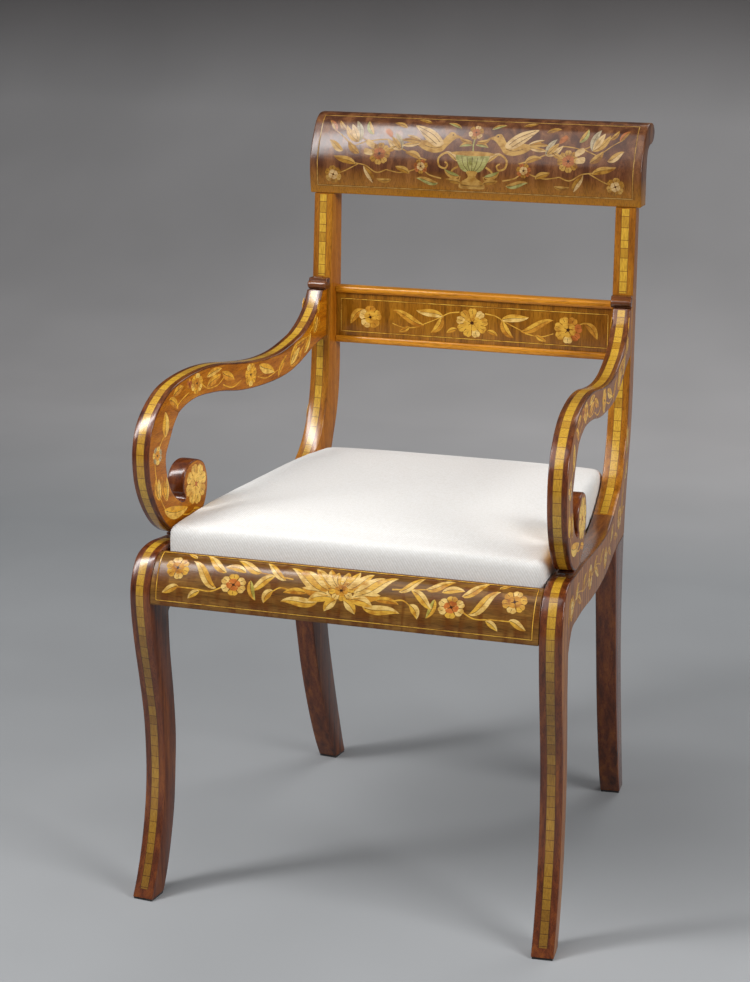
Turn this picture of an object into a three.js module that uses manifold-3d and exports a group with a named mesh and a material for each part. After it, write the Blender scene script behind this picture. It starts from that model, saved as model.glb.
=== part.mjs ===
// A Dutch marquetry scroll-arm chair of about 1820: sabre front legs, rails that sweep up into the
// stiles, S-shaped arms on volutes, a rolled tablet crest, and a drop-in upholstered seat.
// Millimetres, +Z up, the front faces -Y. Left is -X, as seen from the front.
// The origin is on the floor, under the middle of the chair's plan.

import * as THREE from "three";
import { mergeVertices } from "three/addons/utils/BufferGeometryUtils.js";
import Module from "manifold-3d";

const wasm = await Module();
wasm.setup();

// Driving sizes of the whole chair
const frontHalfWidth = 255.2; // outer face of a front leg, from the middle
const sideDepth = 542; // one side frame, from the front toe to the rear toe, along the board
const seatHeight = 420; // top of the side rails at the front legs
const backRise = 450; // from there to the top of the crest
const armRise = 229; // from there to the top of the arm at the stile
const toeIn = THREE.MathUtils.degToRad(5.09); // each side frame closes toward the back

// Sections
const boardThickness = 25.5; // legs, side rails and stiles
const armThickness = 22;
const fit = 0.3; // glue line or running gap between two pieces
const tenonThickness = 8;
const tenonLength = 18;
const legTenonFrontMargin = 8; // shoulders of the tenon on top of a rear leg
const legTenonBackMargin = 18;
const overrun = 4; // how far a cutter passes the face it starts from

// Pads under the feet
const padThickness = 2.7;
const padInset = 1;

// Front, rear and middle rails
const frontRailRecess = 1;
const frontRailThickness = 47;
const seatSink = 22; // the seat's ledge, below the seat height
const railDrop = 58; // bottom of the front and rear rails, below the seat height
const rearLipDrop = 2;
const rearRailThickness = 22;
const rearLipThickness = 8;
const midRailThickness = 14;
const midRailRecess = 18; // behind the stile's front
const midMouldingHeight = 9;
const midMouldingProud = 3;
const midTenonLength = 8;

// Crest
const crestOverhang = 5.7; // past the outer face of a stile
const crestTenonHeight = 26;
const crestTenonDepth = 14;

// Arm fittings
const collarHeight = 14;
const collarProud = 15;
const spacerLength = 16;
const spacerWidth = 18;
const dowelRadius = 4;
const dowelLength = 36;
const screwRadius = 2.4;
const screwHeadRadius = 4.4;
const screwHeadHeight = 3.5;
const backScrewLength = 72;
const backPlugHeight = 6;
const footScrewLength = 80;
const footScrewSink = 6;
const screwSides = 12;

// Inlaid banding on the front and top faces
const bandingWidth = 9;
const bandingThickness = 1.2;
const bandingFootClear = 9; // the band stops this far above the toe
const bandingEndClear = 1.5;

// Blocks and cleats that carry the seat
const cornerBlockLeg = 42;
const cornerBlockHeight = 30;
const cleatWidth = 14;
const cleatHeight = 14;

// Drop-in seat
const seatPlay = 2; // each side, to the rails
const dustClothThickness = 0.8;
const seatBarWidth = 48;
const seatBarThickness = 19;
const seatBarTenon = 24;
const seatBarTenonThickness = 7;
const webbingThickness = 1.5;
const webStrapWidth = 50;
const webGap = 38;
const webEdge = 24; // webbing border on each bar
const hessianThickness = 0.8;
const coverThickness = 1.2;
const seatWall = 38; // straight side of the cover
const seatShoulder = 9; // radius where the side turns into the top
const seatBulge = 1; // the side swells this much
const seatCrown = 11; // the middle stands above the shoulder
const frontCornerRadius = 9;
const rearCornerRadius = 16;

// Outlines of a side frame: shares of the side depth, and of the seat height
const legFrontShares = [
  [0.0, 0.0], [0.02, 0.062], [0.041, 0.138], [0.059, 0.233], [0.069, 0.333], [0.069, 0.433],
  [0.063, 0.529], [0.046, 0.645], [0.031, 0.738], [0.02, 0.833], [0.019, 0.895], [0.028, 0.937],
  [0.046, 0.977], [0.07, 0.996], [0.109, 1.005], [0.154, 1.002],
];
const legBackShares = [
  [0.102, 0.814], [0.106, 0.7], [0.118, 0.571], [0.124, 0.452], [0.12, 0.35], [0.111, 0.238],
  [0.093, 0.138], [0.075, 0.064], [0.056, 0.0],
];
const railTopShares = [
  [0.154, 1.002], [0.295, 0.99], [0.415, 0.975], [0.535, 0.962], [0.628, 0.96], [0.709, 0.981],
];
const railBottomShares = [
  [0.102, 0.814], [0.143, 0.862], [0.204, 0.864], [0.283, 0.86], [0.396, 0.846], [0.508, 0.838],
  [0.6, 0.839], [0.689, 0.85],
];
const kneeBottomShares = [[0.689, 0.85], [0.759, 0.861], [0.889, 0.862]];
const rearLegFrontShares = [
  [0.759, 0.861], [0.771, 0.774], [0.785, 0.681], [0.811, 0.524], [0.841, 0.357], [0.876, 0.214],
  [0.915, 0.088], [0.948, 0.0],
];
const rearLegBackShares = [
  [0.889, 0.862], [0.885, 0.762], [0.886, 0.619], [0.904, 0.452], [0.928, 0.321], [0.958, 0.181],
  [0.987, 0.057], [1.0, 0.0],
];

// Shares of the side depth, and of the rise from the seat height to the top of the crest
const stileLowerFrontShares = [
  [0.709, -0.018], [0.772, 0.007], [0.811, 0.027], [0.847, 0.067], [0.876, 0.124], [0.897, 0.2],
  [0.908, 0.298],
];
const stileUpperFrontShares = [[0.924, 0.633], [0.932, 0.778]];
const stileBackShares = [
  [0.986, 0.778], [0.982, 0.6], [0.977, 0.4], [0.972, 0.244], [0.9575, 0.147], [0.934, 0.067],
  [0.911, -0.011], [0.897, -0.078],
];
const crestShares = [
  [0.934, 0.78], [0.928, 0.829], [0.928, 0.871], [0.935, 0.902], [0.945, 0.929], [0.958, 0.956],
  [0.974, 0.982], [0.995, 0.997], [1.017, 1.0], [1.039, 0.997], [1.053, 0.982], [1.056, 0.967],
  [1.047, 0.95], [1.03, 0.942], [1.01, 0.939], [0.993, 0.924], [0.985, 0.893], [0.983, 0.844],
  [0.982, 0.78],
];
const midRailShares = [0.349, 0.513]; // bottom and top of the middle rail
const frontLipShares = [0.07, 0.087]; // front and back of the flat top of the front rail

// Shares of the side depth, and of the rise from the seat height to the top of the arm
const armSeatShares = [[0.912, 0.739], [0.918, 1.002]]; // bottom and top of the arm on the stile
const armTopShares = [
  [0.102, 0.729], [0.139, 0.775], [0.185, 0.8035], [0.25, 0.82], [0.315, 0.821], [0.382, 0.807],
  [0.461, 0.777], [0.546, 0.751], [0.621, 0.742], [0.687, 0.751], [0.761, 0.784], [0.793, 0.807],
  [0.834, 0.858], [0.867, 0.926], [0.888, 1.0],
];
const armUnderShares = [
  [0.878, 0.722], [0.845, 0.705], [0.793, 0.664], [0.761, 0.64], [0.706, 0.613], [0.634, 0.603],
  [0.545, 0.609], [0.459, 0.628], [0.378, 0.662], [0.313, 0.68], [0.257, 0.686], [0.211, 0.672],
  [0.176, 0.646],
];
const scrollOuterShares = [
  [0.102, 0.729], [0.072, 0.669], [0.052, 0.6], [0.041, 0.515], [0.04, 0.432], [0.046, 0.341],
  [0.061, 0.253], [0.085, 0.166], [0.115, 0.092], [0.152, 0.039], [0.191, 0.017], [0.232, 0.031],
  [0.262, 0.064], [0.285, 0.12], [0.297, 0.19], [0.298, 0.26], [0.286, 0.328], [0.264, 0.36],
  [0.24, 0.369], [0.216, 0.358], [0.197, 0.323], [0.189, 0.271], [0.191, 0.227],
];
const scrollInnerShares = [
  [0.191, 0.227], [0.198, 0.195], [0.187, 0.181], [0.167, 0.203], [0.147, 0.24], [0.131, 0.29],
  [0.121, 0.345], [0.1155, 0.415], [0.118, 0.465], [0.133, 0.521], [0.152, 0.59], [0.176, 0.646],
];
const bandedScrollPoints = 9; // the band ends under the scroll, at this point of its outer edge
const spacerShare = 0.19; // where the arm stands on the side rail
const backScrewShare = 0.79; // height of the screw through the stile
const railTenonShares = [0.885, 0.945]; // bottom and top of the side rail's tenons
const frontTenonShares = [0.885, 0.94]; // of the front rail's tenons
const legTenonShares = [0.8, 0.862]; // height of the rear leg's tenon, and its root
const stepsPerSpan = 3; // points that a curve gets between two of its shares

// Finishes
const mahogany = { color: 0x5a2c1a, roughness: 0.32, metalness: 0 };
const veneer = { color: 0x7a4020, roughness: 0.3, metalness: 0 };
const satinwood = { color: 0xc8952e, roughness: 0.35, metalness: 0 };
const beech = { color: 0xb08a5a, roughness: 0.6, metalness: 0 };
const steel = { color: 0x9a9a98, roughness: 0.4, metalness: 1 };
const felt = { color: 0x1c1a19, roughness: 0.95, metalness: 0 };
const jute = { color: 0x9a8058, roughness: 0.95, metalness: 0 };
const hair = { color: 0x4a4038, roughness: 1, metalness: 0 };
const twill = { color: 0xefece6, roughness: 0.9, metalness: 0 };
const calico = { color: 0x2a2725, roughness: 0.95, metalness: 0 };

// Places worked out from the driving sizes
const crestReach = Math.max(...crestShares.map(([along]) => along)) * sideDepth * Math.cos(toeIn);
const toeReach = boardThickness * Math.sin(toeIn);
const frontY = (toeReach - crestReach) / 2;
const footHeight = padThickness + fit;
const ledgeHeight = seatHeight - seatSink;
const railBottom = seatHeight - railDrop;
const tenonInset = (boardThickness - tenonThickness) / 2;

// Stands a drawn outline up: its X becomes the chair's Y, its Y becomes Z, and it is extruded along X.
const standing = new THREE.Matrix4().makeBasis(
  new THREE.Vector3(0, 1, 0),
  new THREE.Vector3(0, 0, 1),
  new THREE.Vector3(1, 0, 0),
);

const chair = new THREE.Group();
chair.name = "chair";

// Adds one named piece to its parent.
function addPiece(parent, name, geometry, finish) {
  const mesh = new THREE.Mesh(geometry, new THREE.MeshStandardMaterial(finish));
  mesh.name = name;
  parent.add(mesh);
  return mesh;
}

// A three.js geometry as a solid that can be cut.
function toSolid(geometry) {
  const bare = geometry.index ? geometry.toNonIndexed() : geometry.clone();
  bare.deleteAttribute("normal");
  bare.deleteAttribute("uv");
  const merged = mergeVertices(bare);
  return new wasm.Manifold(
    new wasm.Mesh({
      numProp: 3,
      vertProperties: Float32Array.from(merged.attributes.position.array),
      triVerts: Uint32Array.from(merged.index.array),
    }),
  );
}

// A solid as a three.js geometry.
function toGeometry(solid) {
  const mesh = solid.getMesh();
  const geometry = new THREE.BufferGeometry();
  geometry.setAttribute("position", new THREE.BufferAttribute(mesh.vertProperties, mesh.numProp));
  geometry.setIndex(new THREE.BufferAttribute(mesh.triVerts, 1));
  const faceted = geometry.toNonIndexed();
  faceted.computeVertexNormals();
  return faceted;
}

// The piece with its tenons or studs joined on.
function joined(geometry, additions) {
  return toGeometry(additions.reduce((solid, extra) => solid.add(toSolid(extra)), toSolid(geometry)));
}

// The piece with its mortises, grooves and holes cut.
function carved(geometry, cutters) {
  return toGeometry(cutters.reduce((solid, cutter) => solid.subtract(toSolid(cutter)), toSolid(geometry)));
}

// Points of a side outline from shares of the depth and of the seat height.
function low(shares) {
  return shares.map(([along, up]) => {
    const height = Math.max(up * seatHeight, footHeight);
    return new THREE.Vector2(along * sideDepth, height);
  });
}

// Points of a side outline from shares of the depth and of a rise above the seat height.
function high(shares, rise) {
  return shares.map(([along, up]) => new THREE.Vector2(along * sideDepth, seatHeight + up * rise));
}

// A smooth run of points through the given ones.
function smooth(points) {
  return new THREE.SplineCurve(points).getPoints((points.length - 1) * stepsPerSpan);
}

// The point at one height on a run of points that climbs or falls.
function depthAt(points, height) {
  for (let i = 1; i < points.length; i += 1) {
    const [a, b] = [points[i - 1], points[i]];
    if ((a.y - height) * (b.y - height) <= 0 && a.y !== b.y) {
      return a.x + ((b.x - a.x) * (height - a.y)) / (b.y - a.y);
    }
  }
  return points[points.length - 1].x;
}

// The height at one depth on a run of points that goes back.
function heightAt(points, depth) {
  const turned = points.map((point) => new THREE.Vector2(point.y, point.x));
  return depthAt(turned, depth);
}

// A copy of a run of points, moved up.
function raised(points, up) {
  return points.map((point) => new THREE.Vector2(point.x, point.y + up));
}

// A rectangle in a side outline's plane.
function rectangle(along0, along1, up0, up1) {
  return [
    new THREE.Vector2(along0, up0),
    new THREE.Vector2(along1, up0),
    new THREE.Vector2(along1, up1),
    new THREE.Vector2(along0, up1),
  ];
}

// A run of points as a closed strip, from one offset to another along its left-hand normal.
function strip(points, near, far) {
  const normals = points.map((_, i) => {
    const ahead = points[Math.min(i + 1, points.length - 1)];
    const behind = points[Math.max(i - 1, 0)];
    const along = ahead.clone().sub(behind).normalize();
    return new THREE.Vector2(-along.y, along.x);
  });
  const moved = (offset) => points.map((point, i) => point.clone().addScaledVector(normals[i], offset));
  return [...moved(near), ...moved(far).reverse()];
}

// Where a board starts along X in its side frame, whose outer face is at zero.
function boardStart(side, inset, width) {
  return side > 0 ? -inset - width : inset;
}

// A board of a side frame: an outline in the frame's plane, as thick as it is wide along X.
function board(side, outline, inset, width) {
  const extruded = new THREE.ExtrudeGeometry(new THREE.Shape(outline), {
    depth: width,
    bevelEnabled: false,
  });
  return extruded.applyMatrix4(standing).translate(boardStart(side, inset, width), 0, 0);
}

// A round pin in a side frame's plane, from one point toward another.
function pin(side, from, toward, radius, length, inset) {
  const direction = toward.clone().sub(from).normalize();
  const axis = new THREE.Vector3(0, direction.x, direction.y);
  const x = side > 0 ? -inset : inset;
  const shaft = new THREE.CylinderGeometry(radius, radius, length, screwSides);
  shaft.translate(0, length / 2, 0);
  shaft.applyQuaternion(new THREE.Quaternion().setFromUnitVectors(new THREE.Vector3(0, 1, 0), axis));
  return shaft.translate(x, from.x, from.y);
}

// A screw: a round head at its start, and a shank.
function screw(side, from, toward, length, inset, play) {
  const head = pin(side, from, toward, screwHeadRadius + play, screwHeadHeight + play, inset);
  const shank = pin(side, from, toward, screwRadius + play, length + play, inset);
  return joined(head, [shank]);
}

// The inner plane of a side board crosses this depth Y at this distance from the middle.
function innerX(y) {
  const setBack = y - frontY + boardThickness * Math.sin(toeIn);
  return frontHalfWidth - boardThickness * Math.cos(toeIn) - setBack * Math.tan(toeIn);
}

// The chair's Y of a place on the inner face of a side board.
function innerY(along) {
  return frontY + along * Math.cos(toeIn) - boardThickness * Math.sin(toeIn);
}

// A rail from side to side: a profile of (Y, Z) points, with ends that follow the side frames.
function crossRail(profile, gap) {
  const extruded = new THREE.ExtrudeGeometry(new THREE.Shape(profile), { depth: 2, bevelEnabled: false });
  const geometry = extruded.applyMatrix4(standing).translate(-1, 0, 0);
  const places = geometry.attributes.position;
  for (let i = 0; i < places.count; i += 1) {
    places.setX(i, places.getX(i) * (innerX(places.getY(i)) - gap));
  }
  return geometry;
}

// A block from one height to another over a plan outline of (X, Y) points.
function block(plan, bottom, top) {
  const geometry = new THREE.ExtrudeGeometry(new THREE.Shape(plan), {
    depth: top - bottom,
    bevelEnabled: false,
  });
  return geometry.translate(0, 0, bottom);
}

// A box given by its low and high corners.
function box(x0, x1, y0, y1, z0, z1) {
  const geometry = new THREE.BoxGeometry(x1 - x0, y1 - y0, z1 - z0);
  return geometry.translate((x0 + x1) / 2, (y0 + y1) / 2, (z0 + z1) / 2);
}

// The runs of points that neighbouring pieces share
const legFront = smooth(low(legFrontShares));
const legBack = smooth(low(legBackShares));
const railTop = smooth(low(railTopShares));
const railUnder = smooth(low(railBottomShares));
const kneeUnder = smooth(low(kneeBottomShares));
const rearLegFront = smooth(low(rearLegFrontShares));
const rearLegBack = smooth(low(rearLegBackShares));
const [armSeatLow, armSeatHigh] = high(armSeatShares, armRise);
const stileLowerFront = smooth([...high(stileLowerFrontShares, backRise), armSeatLow]);
const stileUpperFront = smooth([armSeatHigh, ...high(stileUpperFrontShares, backRise)]);
const stileBack = smooth(high(stileBackShares, backRise));
const armTop = smooth(high(armTopShares, armRise));
const armUnder = smooth(high(armUnderShares, armRise));
const scrollOuter = smooth(high(scrollOuterShares, armRise));
const scrollInner = smooth(high(scrollInnerShares, armRise));

// Places of the joints between side and cross pieces
const midBottom = seatHeight + midRailShares[0] * backRise;
const midTop = seatHeight + midRailShares[1] * backRise;
const midFront = innerY(armSeatHigh.x) + midRailRecess;
const crestBottom = seatHeight + crestShares[0][1] * backRise;
const crestFront = frontY + crestShares[0][0] * sideDepth * Math.cos(toeIn);
const crestHalfLength = innerX(crestFront) + boardThickness / Math.cos(toeIn) + crestOverhang;
const frontRailBack = innerY(depthAt(legFront.slice(0, -2), railBottom)) + frontRailThickness;
const rearLipBack = innerY(stileBackShares[stileBackShares.length - 2][0] * sideDepth) - fit;
const rearLipFront = rearLipBack - rearLipThickness;
const rearRailFront = rearLipFront - rearRailThickness;
const frontLipBack = innerY(frontLipShares[1] * sideDepth);
const seatFront = frontLipBack + seatPlay;
const seatRear = rearLipFront - seatPlay;

// Profiles of the rails that cross the chair, in (Y, Z)
function frontRailProfile() {
  const face = legFront
    .filter((point) => point.y > railBottom && point.x < frontLipShares[0] * sideDepth)
    .map((point) => new THREE.Vector2(innerY(point.x) + frontRailRecess, point.y));
  const toe = new THREE.Vector2(face[0].x, railBottom);
  const lipTop = face[face.length - 1].y;
  return [
    toe,
    ...face,
    new THREE.Vector2(frontLipBack, lipTop),
    new THREE.Vector2(frontLipBack, ledgeHeight),
    new THREE.Vector2(frontRailBack, ledgeHeight),
    new THREE.Vector2(frontRailBack, railBottom),
  ].reverse();
}

function rearRailProfile() {
  const lipTop = seatHeight - rearLipDrop;
  const underBack = innerY(stileBackShares[stileBackShares.length - 1][0] * sideDepth) - fit;
  return [
    new THREE.Vector2(rearRailFront, railBottom),
    new THREE.Vector2(underBack - rearLipThickness, railBottom),
    new THREE.Vector2(underBack, ledgeHeight - cleatHeight),
    new THREE.Vector2(rearLipBack, lipTop),
    new THREE.Vector2(rearLipFront, lipTop),
    new THREE.Vector2(rearLipFront, ledgeHeight),
    new THREE.Vector2(rearRailFront, ledgeHeight),
  ];
}

// A tenon on both ends of a cross rail, or its mortise when it has play
function crossTenon(side, y0, y1, z0, z1, length, play) {
  const shoulder = innerX((y0 + y1) / 2);
  const reach = shoulder + length + play;
  const root = shoulder - overrun;
  const [x0, x1] = side > 0 ? [root, reach] : [-reach, -root];
  return box(x0, x1, y0 - play, y1 + play, z0 - play, z1 + play);
}

const frontTenonY = [
  (innerY(legFront[0].x) + seatFront) / 2 + tenonThickness / 2,
  frontRailBack - tenonThickness,
];
const frontTenonZ = frontTenonShares.map((share) => share * seatHeight);
const rearTenonY = [rearRailFront + tenonThickness / 2, rearLipFront - tenonThickness];
const rearTenonZ = [railBottom + tenonThickness, ledgeHeight - tenonThickness];
const midTenonY = [midFront + midRailThickness / 4, midFront + (midRailThickness * 3) / 4];
const midTenonZ = [midBottom + midMouldingHeight, midTop - midMouldingHeight];

function frontTenon(side, play) {
  return crossTenon(side, ...frontTenonY, ...frontTenonZ, tenonLength, play);
}

function rearTenon(side, play) {
  return crossTenon(side, ...rearTenonY, ...rearTenonZ, tenonLength, play);
}

function midTenon(side, play) {
  return crossTenon(side, ...midTenonY, ...midTenonZ, midTenonLength, play);
}

// One side frame: everything between a front toe and the crest, in the plane of its boards
function addSideFrame(side) {
  const hand = side > 0 ? "right" : "left";
  const frame = new THREE.Group();
  frame.position.set(side * frontHalfWidth, frontY, 0);
  frame.rotation.z = side * toeIn;
  frame.updateMatrix();
  chair.add(frame);
  const add = (name, geometry, finish) => addPiece(frame, name + "_" + hand, geometry, finish);
  const toFrame = frame.matrix.clone().invert();
  const fromChair = (geometry) => geometry.applyMatrix4(toFrame);
  const grooveInset = (boardThickness - bandingWidth) / 2;
  const groove = (run) =>
    board(side, strip(run, -overrun, bandingThickness + fit), grooveInset - fit, bandingWidth + 2 * fit);
  const banding = (run) => board(side, strip(run, 0, bandingThickness), grooveInset, bandingWidth);
  const tenon = (along0, along1, up0, up1, play) =>
    board(
      side,
      rectangle(along0 - play, along1 + play, up0 - play, up1 + play),
      tenonInset - play,
      tenonThickness + 2 * play,
    );

  // Front leg, with its band let in round the front edge
  const legBand = legFront.filter((point) => point.y > footHeight + bandingFootClear).reverse();
  const legGrooveEnd = legBand[0].clone().add(new THREE.Vector2(overrun, 0));
  const legOutline = [...legFront, ...legBack];
  const railTenonUp = railTenonShares.map((share) => share * seatHeight);
  const railFrontAlong = (railTop[0].x + railUnder[0].x) / 2;
  const frontTenonOf = (play) =>
    tenon(railFrontAlong - tenonLength, railFrontAlong + tenonLength, ...railTenonUp, play);
  add(
    "front_leg",
    carved(board(side, legOutline, 0, boardThickness), [
      frontTenonOf(fit),
      fromChair(frontTenon(side, fit)),
      groove([legGrooveEnd, ...legBand]),
    ]),
    mahogany,
  );
  add("front_leg_banding", banding(legBand.slice(1)), satinwood);

  // Side rail, tenoned into the leg and the stile
  const railRearAlong = (railTop[railTop.length - 1].x + railUnder[railUnder.length - 1].x) / 2;
  const rearTenonOf = (play) =>
    tenon(railRearAlong - tenonLength, railRearAlong + tenonLength, ...railTenonUp, play);
  const railOutline = [...raised(railTop, 0), ...raised(railUnder, 0).reverse()];
  railOutline[0].x += fit;
  railOutline[railOutline.length - 1].x += fit;
  railOutline[railTop.length - 1].x -= fit;
  railOutline[railTop.length].x -= fit;
  const spacerAlong = spacerShare * sideDepth;
  const footScrewStart = heightAt(railUnder, spacerAlong) + footScrewSink;
  const footScrew = (play) =>
    screw(
      side,
      new THREE.Vector2(spacerAlong, footScrewStart),
      new THREE.Vector2(spacerAlong, seatHeight),
      footScrewLength,
      armThickness / 2,
      play,
    );
  const footScrewBore = pin(
    side,
    new THREE.Vector2(spacerAlong, footScrewStart + fit),
    new THREE.Vector2(spacerAlong, 0),
    screwHeadRadius + fit,
    footScrewSink + overrun,
    armThickness / 2,
  );
  add(
    "side_rail",
    carved(joined(board(side, railOutline, 0, boardThickness), [frontTenonOf(0), rearTenonOf(0)]), [
      footScrew(fit),
      footScrewBore,
    ]),
    mahogany,
  );
  add("arm_foot_screw", footScrew(0), steel);

  // Back stile, which sweeps down into the knee over the rear leg
  const stileTop = stileUpperFront[stileUpperFront.length - 1];
  const stileOutline = [
    ...stileLowerFront,
    ...stileUpperFront.slice(0, -1),
    new THREE.Vector2(stileTop.x, crestBottom - fit),
    new THREE.Vector2(stileBack[0].x, crestBottom - fit),
    ...stileBack.slice(1),
    ...[...kneeUnder].reverse(),
  ];
  const legTenonUp = legTenonShares.map((share) => share * seatHeight);
  const legTopAlong = [rearLegFront[0].x, rearLegBack[0].x];
  const legTenonReach = legTenonUp[1] - legTenonUp[0];
  const legTenonOf = (play) =>
    tenon(
      legTopAlong[0] + legTenonFrontMargin,
      legTopAlong[1] - legTenonBackMargin,
      legTenonUp[1] - overrun,
      legTenonUp[1] + legTenonReach,
      play,
    );
  const screwHeight = seatHeight + backScrewShare * armRise;
  const screwFrom = new THREE.Vector2(depthAt(stileBack, screwHeight) - backPlugHeight, screwHeight);
  const screwTo = new THREE.Vector2(0, screwHeight);
  const backScrew = (play) => screw(side, screwFrom, screwTo, backScrewLength, armThickness / 2, play);
  const plugOutward = new THREE.Vector2(sideDepth * 2, screwHeight);
  const plugFrom = screwFrom.clone().add(new THREE.Vector2(fit, 0));
  const plug = (play, length) =>
    pin(side, plugFrom, plugOutward, screwHeadRadius + play, length, armThickness / 2);
  const crestTenonAlong = (stileTop.x + stileBack[0].x) / 2;
  const crestTenonOf = (play) =>
    tenon(
      crestTenonAlong - crestTenonDepth / 2,
      crestTenonAlong + crestTenonDepth / 2,
      crestBottom - overrun,
      crestBottom + crestTenonHeight,
      play,
    );
  const lowerBand = stileLowerFront.slice(1, -1).reverse();
  const lowerBandEnds = [armSeatLow, ...lowerBand, stileLowerFront[0]];
  const upperBand = [...stileUpperFront].reverse();
  const collarTop = armSeatHigh.y + collarHeight + 2 * fit;
  const upperBandRun = [
    new THREE.Vector2(stileTop.x, crestBottom - bandingEndClear),
    ...upperBand.slice(1, -1).filter((point) => point.y > collarTop + bandingEndClear),
    new THREE.Vector2(depthAt(stileUpperFront, collarTop + bandingEndClear), collarTop + bandingEndClear),
  ];
  const stretched = (run) => {
    const first = run[0].clone().addScaledVector(run[0].clone().sub(run[1]).normalize(), fit);
    const last = run[run.length - 1];
    const end = last.clone().addScaledVector(last.clone().sub(run[run.length - 2]).normalize(), fit);
    return [first, ...run, end];
  };
  add(
    "back_stile",
    carved(joined(board(side, stileOutline, 0, boardThickness), [crestTenonOf(0)]), [
      rearTenonOf(fit),
      legTenonOf(fit),
      fromChair(rearTenon(side, fit)),
      fromChair(midTenon(side, fit)),
      backScrew(fit),
      plug(fit, backPlugHeight + overrun),
      groove(stretched(lowerBand)),
      groove(stretched(upperBandRun)),
    ]),
    mahogany,
  );
  add("stile_banding_lower", banding(lowerBand), satinwood);
  add("stile_banding_upper", banding(upperBandRun), satinwood);
  add("arm_back_screw", backScrew(0), steel);
  add("arm_screw_plug", plug(0, backPlugHeight - fit), mahogany);

  // Rear leg, tenoned up into the knee
  const rearLegOutline = [...raised(rearLegFront, -fit), ...raised(rearLegBack, -fit).reverse()];
  for (const point of rearLegOutline) point.y = Math.max(point.y, footHeight);
  add(
    "rear_leg",
    joined(board(side, rearLegOutline, 0, boardThickness), [legTenonOf(0)]),
    mahogany,
  );

  // Arm in two pieces that meet on a dowelled joint at the shoulder
  const shoulderTop = armTop[0];
  const shoulderUnder = armUnder[armUnder.length - 1];
  const shoulder = shoulderTop.clone().add(shoulderUnder).multiplyScalar(1 / 2);
  const across = shoulderUnder.clone().sub(shoulderTop).normalize();
  const through = new THREE.Vector2(-across.y, across.x);
  const restOutline = [
    ...armTop,
    new THREE.Vector2(armSeatHigh.x - fit, armSeatHigh.y - fit),
    new THREE.Vector2(armSeatLow.x - fit, armSeatLow.y),
    ...armUnder,
  ];
  const scrollOutline = [...scrollOuter, ...scrollInner.slice(1)];
  scrollOutline[0].sub(through.clone().multiplyScalar(fit));
  scrollOutline[scrollOutline.length - 1].sub(through.clone().multiplyScalar(fit));
  const dowelFrom = shoulder.clone().addScaledVector(through, -dowelLength / 2);
  const dowel = (play) =>
    pin(
      side,
      dowelFrom.clone().addScaledVector(through, -play),
      shoulder,
      dowelRadius + play,
      dowelLength + 2 * play,
      armThickness / 2,
    );
  const armBandInset = (armThickness - bandingWidth) / 2;
  const armBandRun = [
    ...armTop.slice(1, -1).reverse(),
    shoulderTop,
    ...scrollOuter.slice(1, bandedScrollPoints * stepsPerSpan),
  ];
  const armGroove = (run) =>
    board(side, strip(run, -overrun, bandingThickness + fit), armBandInset - fit, bandingWidth + 2 * fit);
  add(
    "arm_rest",
    carved(board(side, restOutline, 0, armThickness), [
      dowel(fit),
      backScrew(fit),
      armGroove(stretched(armBandRun)),
    ]),
    mahogany,
  );
  add(
    "arm_scroll",
    carved(board(side, scrollOutline, 0, armThickness), [
      dowel(fit),
      footScrew(fit),
      armGroove(stretched(armBandRun)),
    ]),
    mahogany,
  );
  const armBand = board(side, strip(armBandRun, 0, bandingThickness), armBandInset, bandingWidth);
  add("arm_banding", armBand, satinwood);
  add("arm_dowel", dowel(0), beech);

  // Collar on the arm's upper end, and the pad that the scroll stands on
  const collarBottom = armSeatHigh.y + fit;
  const collarBack = Math.min(depthAt(stileUpperFront, collarBottom), armSeatHigh.x) - fit;
  const collarOutline = rectangle(
    collarBack - collarProud,
    collarBack,
    collarBottom,
    collarBottom + collarHeight,
  );
  add("arm_collar", board(side, collarOutline, 0, boardThickness), mahogany);
  const padStart = spacerAlong - spacerLength / 2;
  const padEnd = spacerAlong + spacerLength / 2;
  const scrollLowest = Math.min(...scrollOuter.map((point) => point.y));
  const spacerOutline = [
    new THREE.Vector2(padStart, heightAt(railTop, padStart) + fit),
    new THREE.Vector2(padEnd, heightAt(railTop, padEnd) + fit),
    new THREE.Vector2(padEnd, scrollLowest - fit),
    new THREE.Vector2(padStart, scrollLowest - fit),
  ];
  add(
    "arm_spacer",
    carved(board(side, spacerOutline, (armThickness - spacerWidth) / 2, spacerWidth), [footScrew(fit)]),
    mahogany,
  );

  // Pads under both feet
  const padWidth = boardThickness - 2 * padInset;
  const toes = { front: [legFront[0].x, legBack[legBack.length - 1].x] };
  toes.rear = [rearLegFront[rearLegFront.length - 1].x, rearLegBack[rearLegBack.length - 1].x];
  for (const [end, [near, far]] of Object.entries(toes)) {
    const padOutline = rectangle(near + padInset, far - padInset, 0, padThickness);
    add(end + "_foot_pad", board(side, padOutline, padInset, padWidth), felt);
  }
  return { crestMortise: crestTenonOf(fit).applyMatrix4(frame.matrix) };
}

const sides = [-1, 1];
const crestMortises = sides.map((side) => addSideFrame(side).crestMortise);

// Crest rail: a curved tablet whose top rolls over to the back
function addCrest() {
  const profile = smooth(high(crestShares, backRise)).map(
    (point) => new THREE.Vector2(frontY + point.x * Math.cos(toeIn), point.y),
  );
  const extruded = new THREE.ExtrudeGeometry(new THREE.Shape(profile), {
    depth: 2 * crestHalfLength,
    bevelEnabled: false,
  });
  const tablet = extruded.applyMatrix4(standing).translate(-crestHalfLength, 0, 0);
  addPiece(chair, "crest_rail", carved(tablet, crestMortises), veneer);
}

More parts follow.
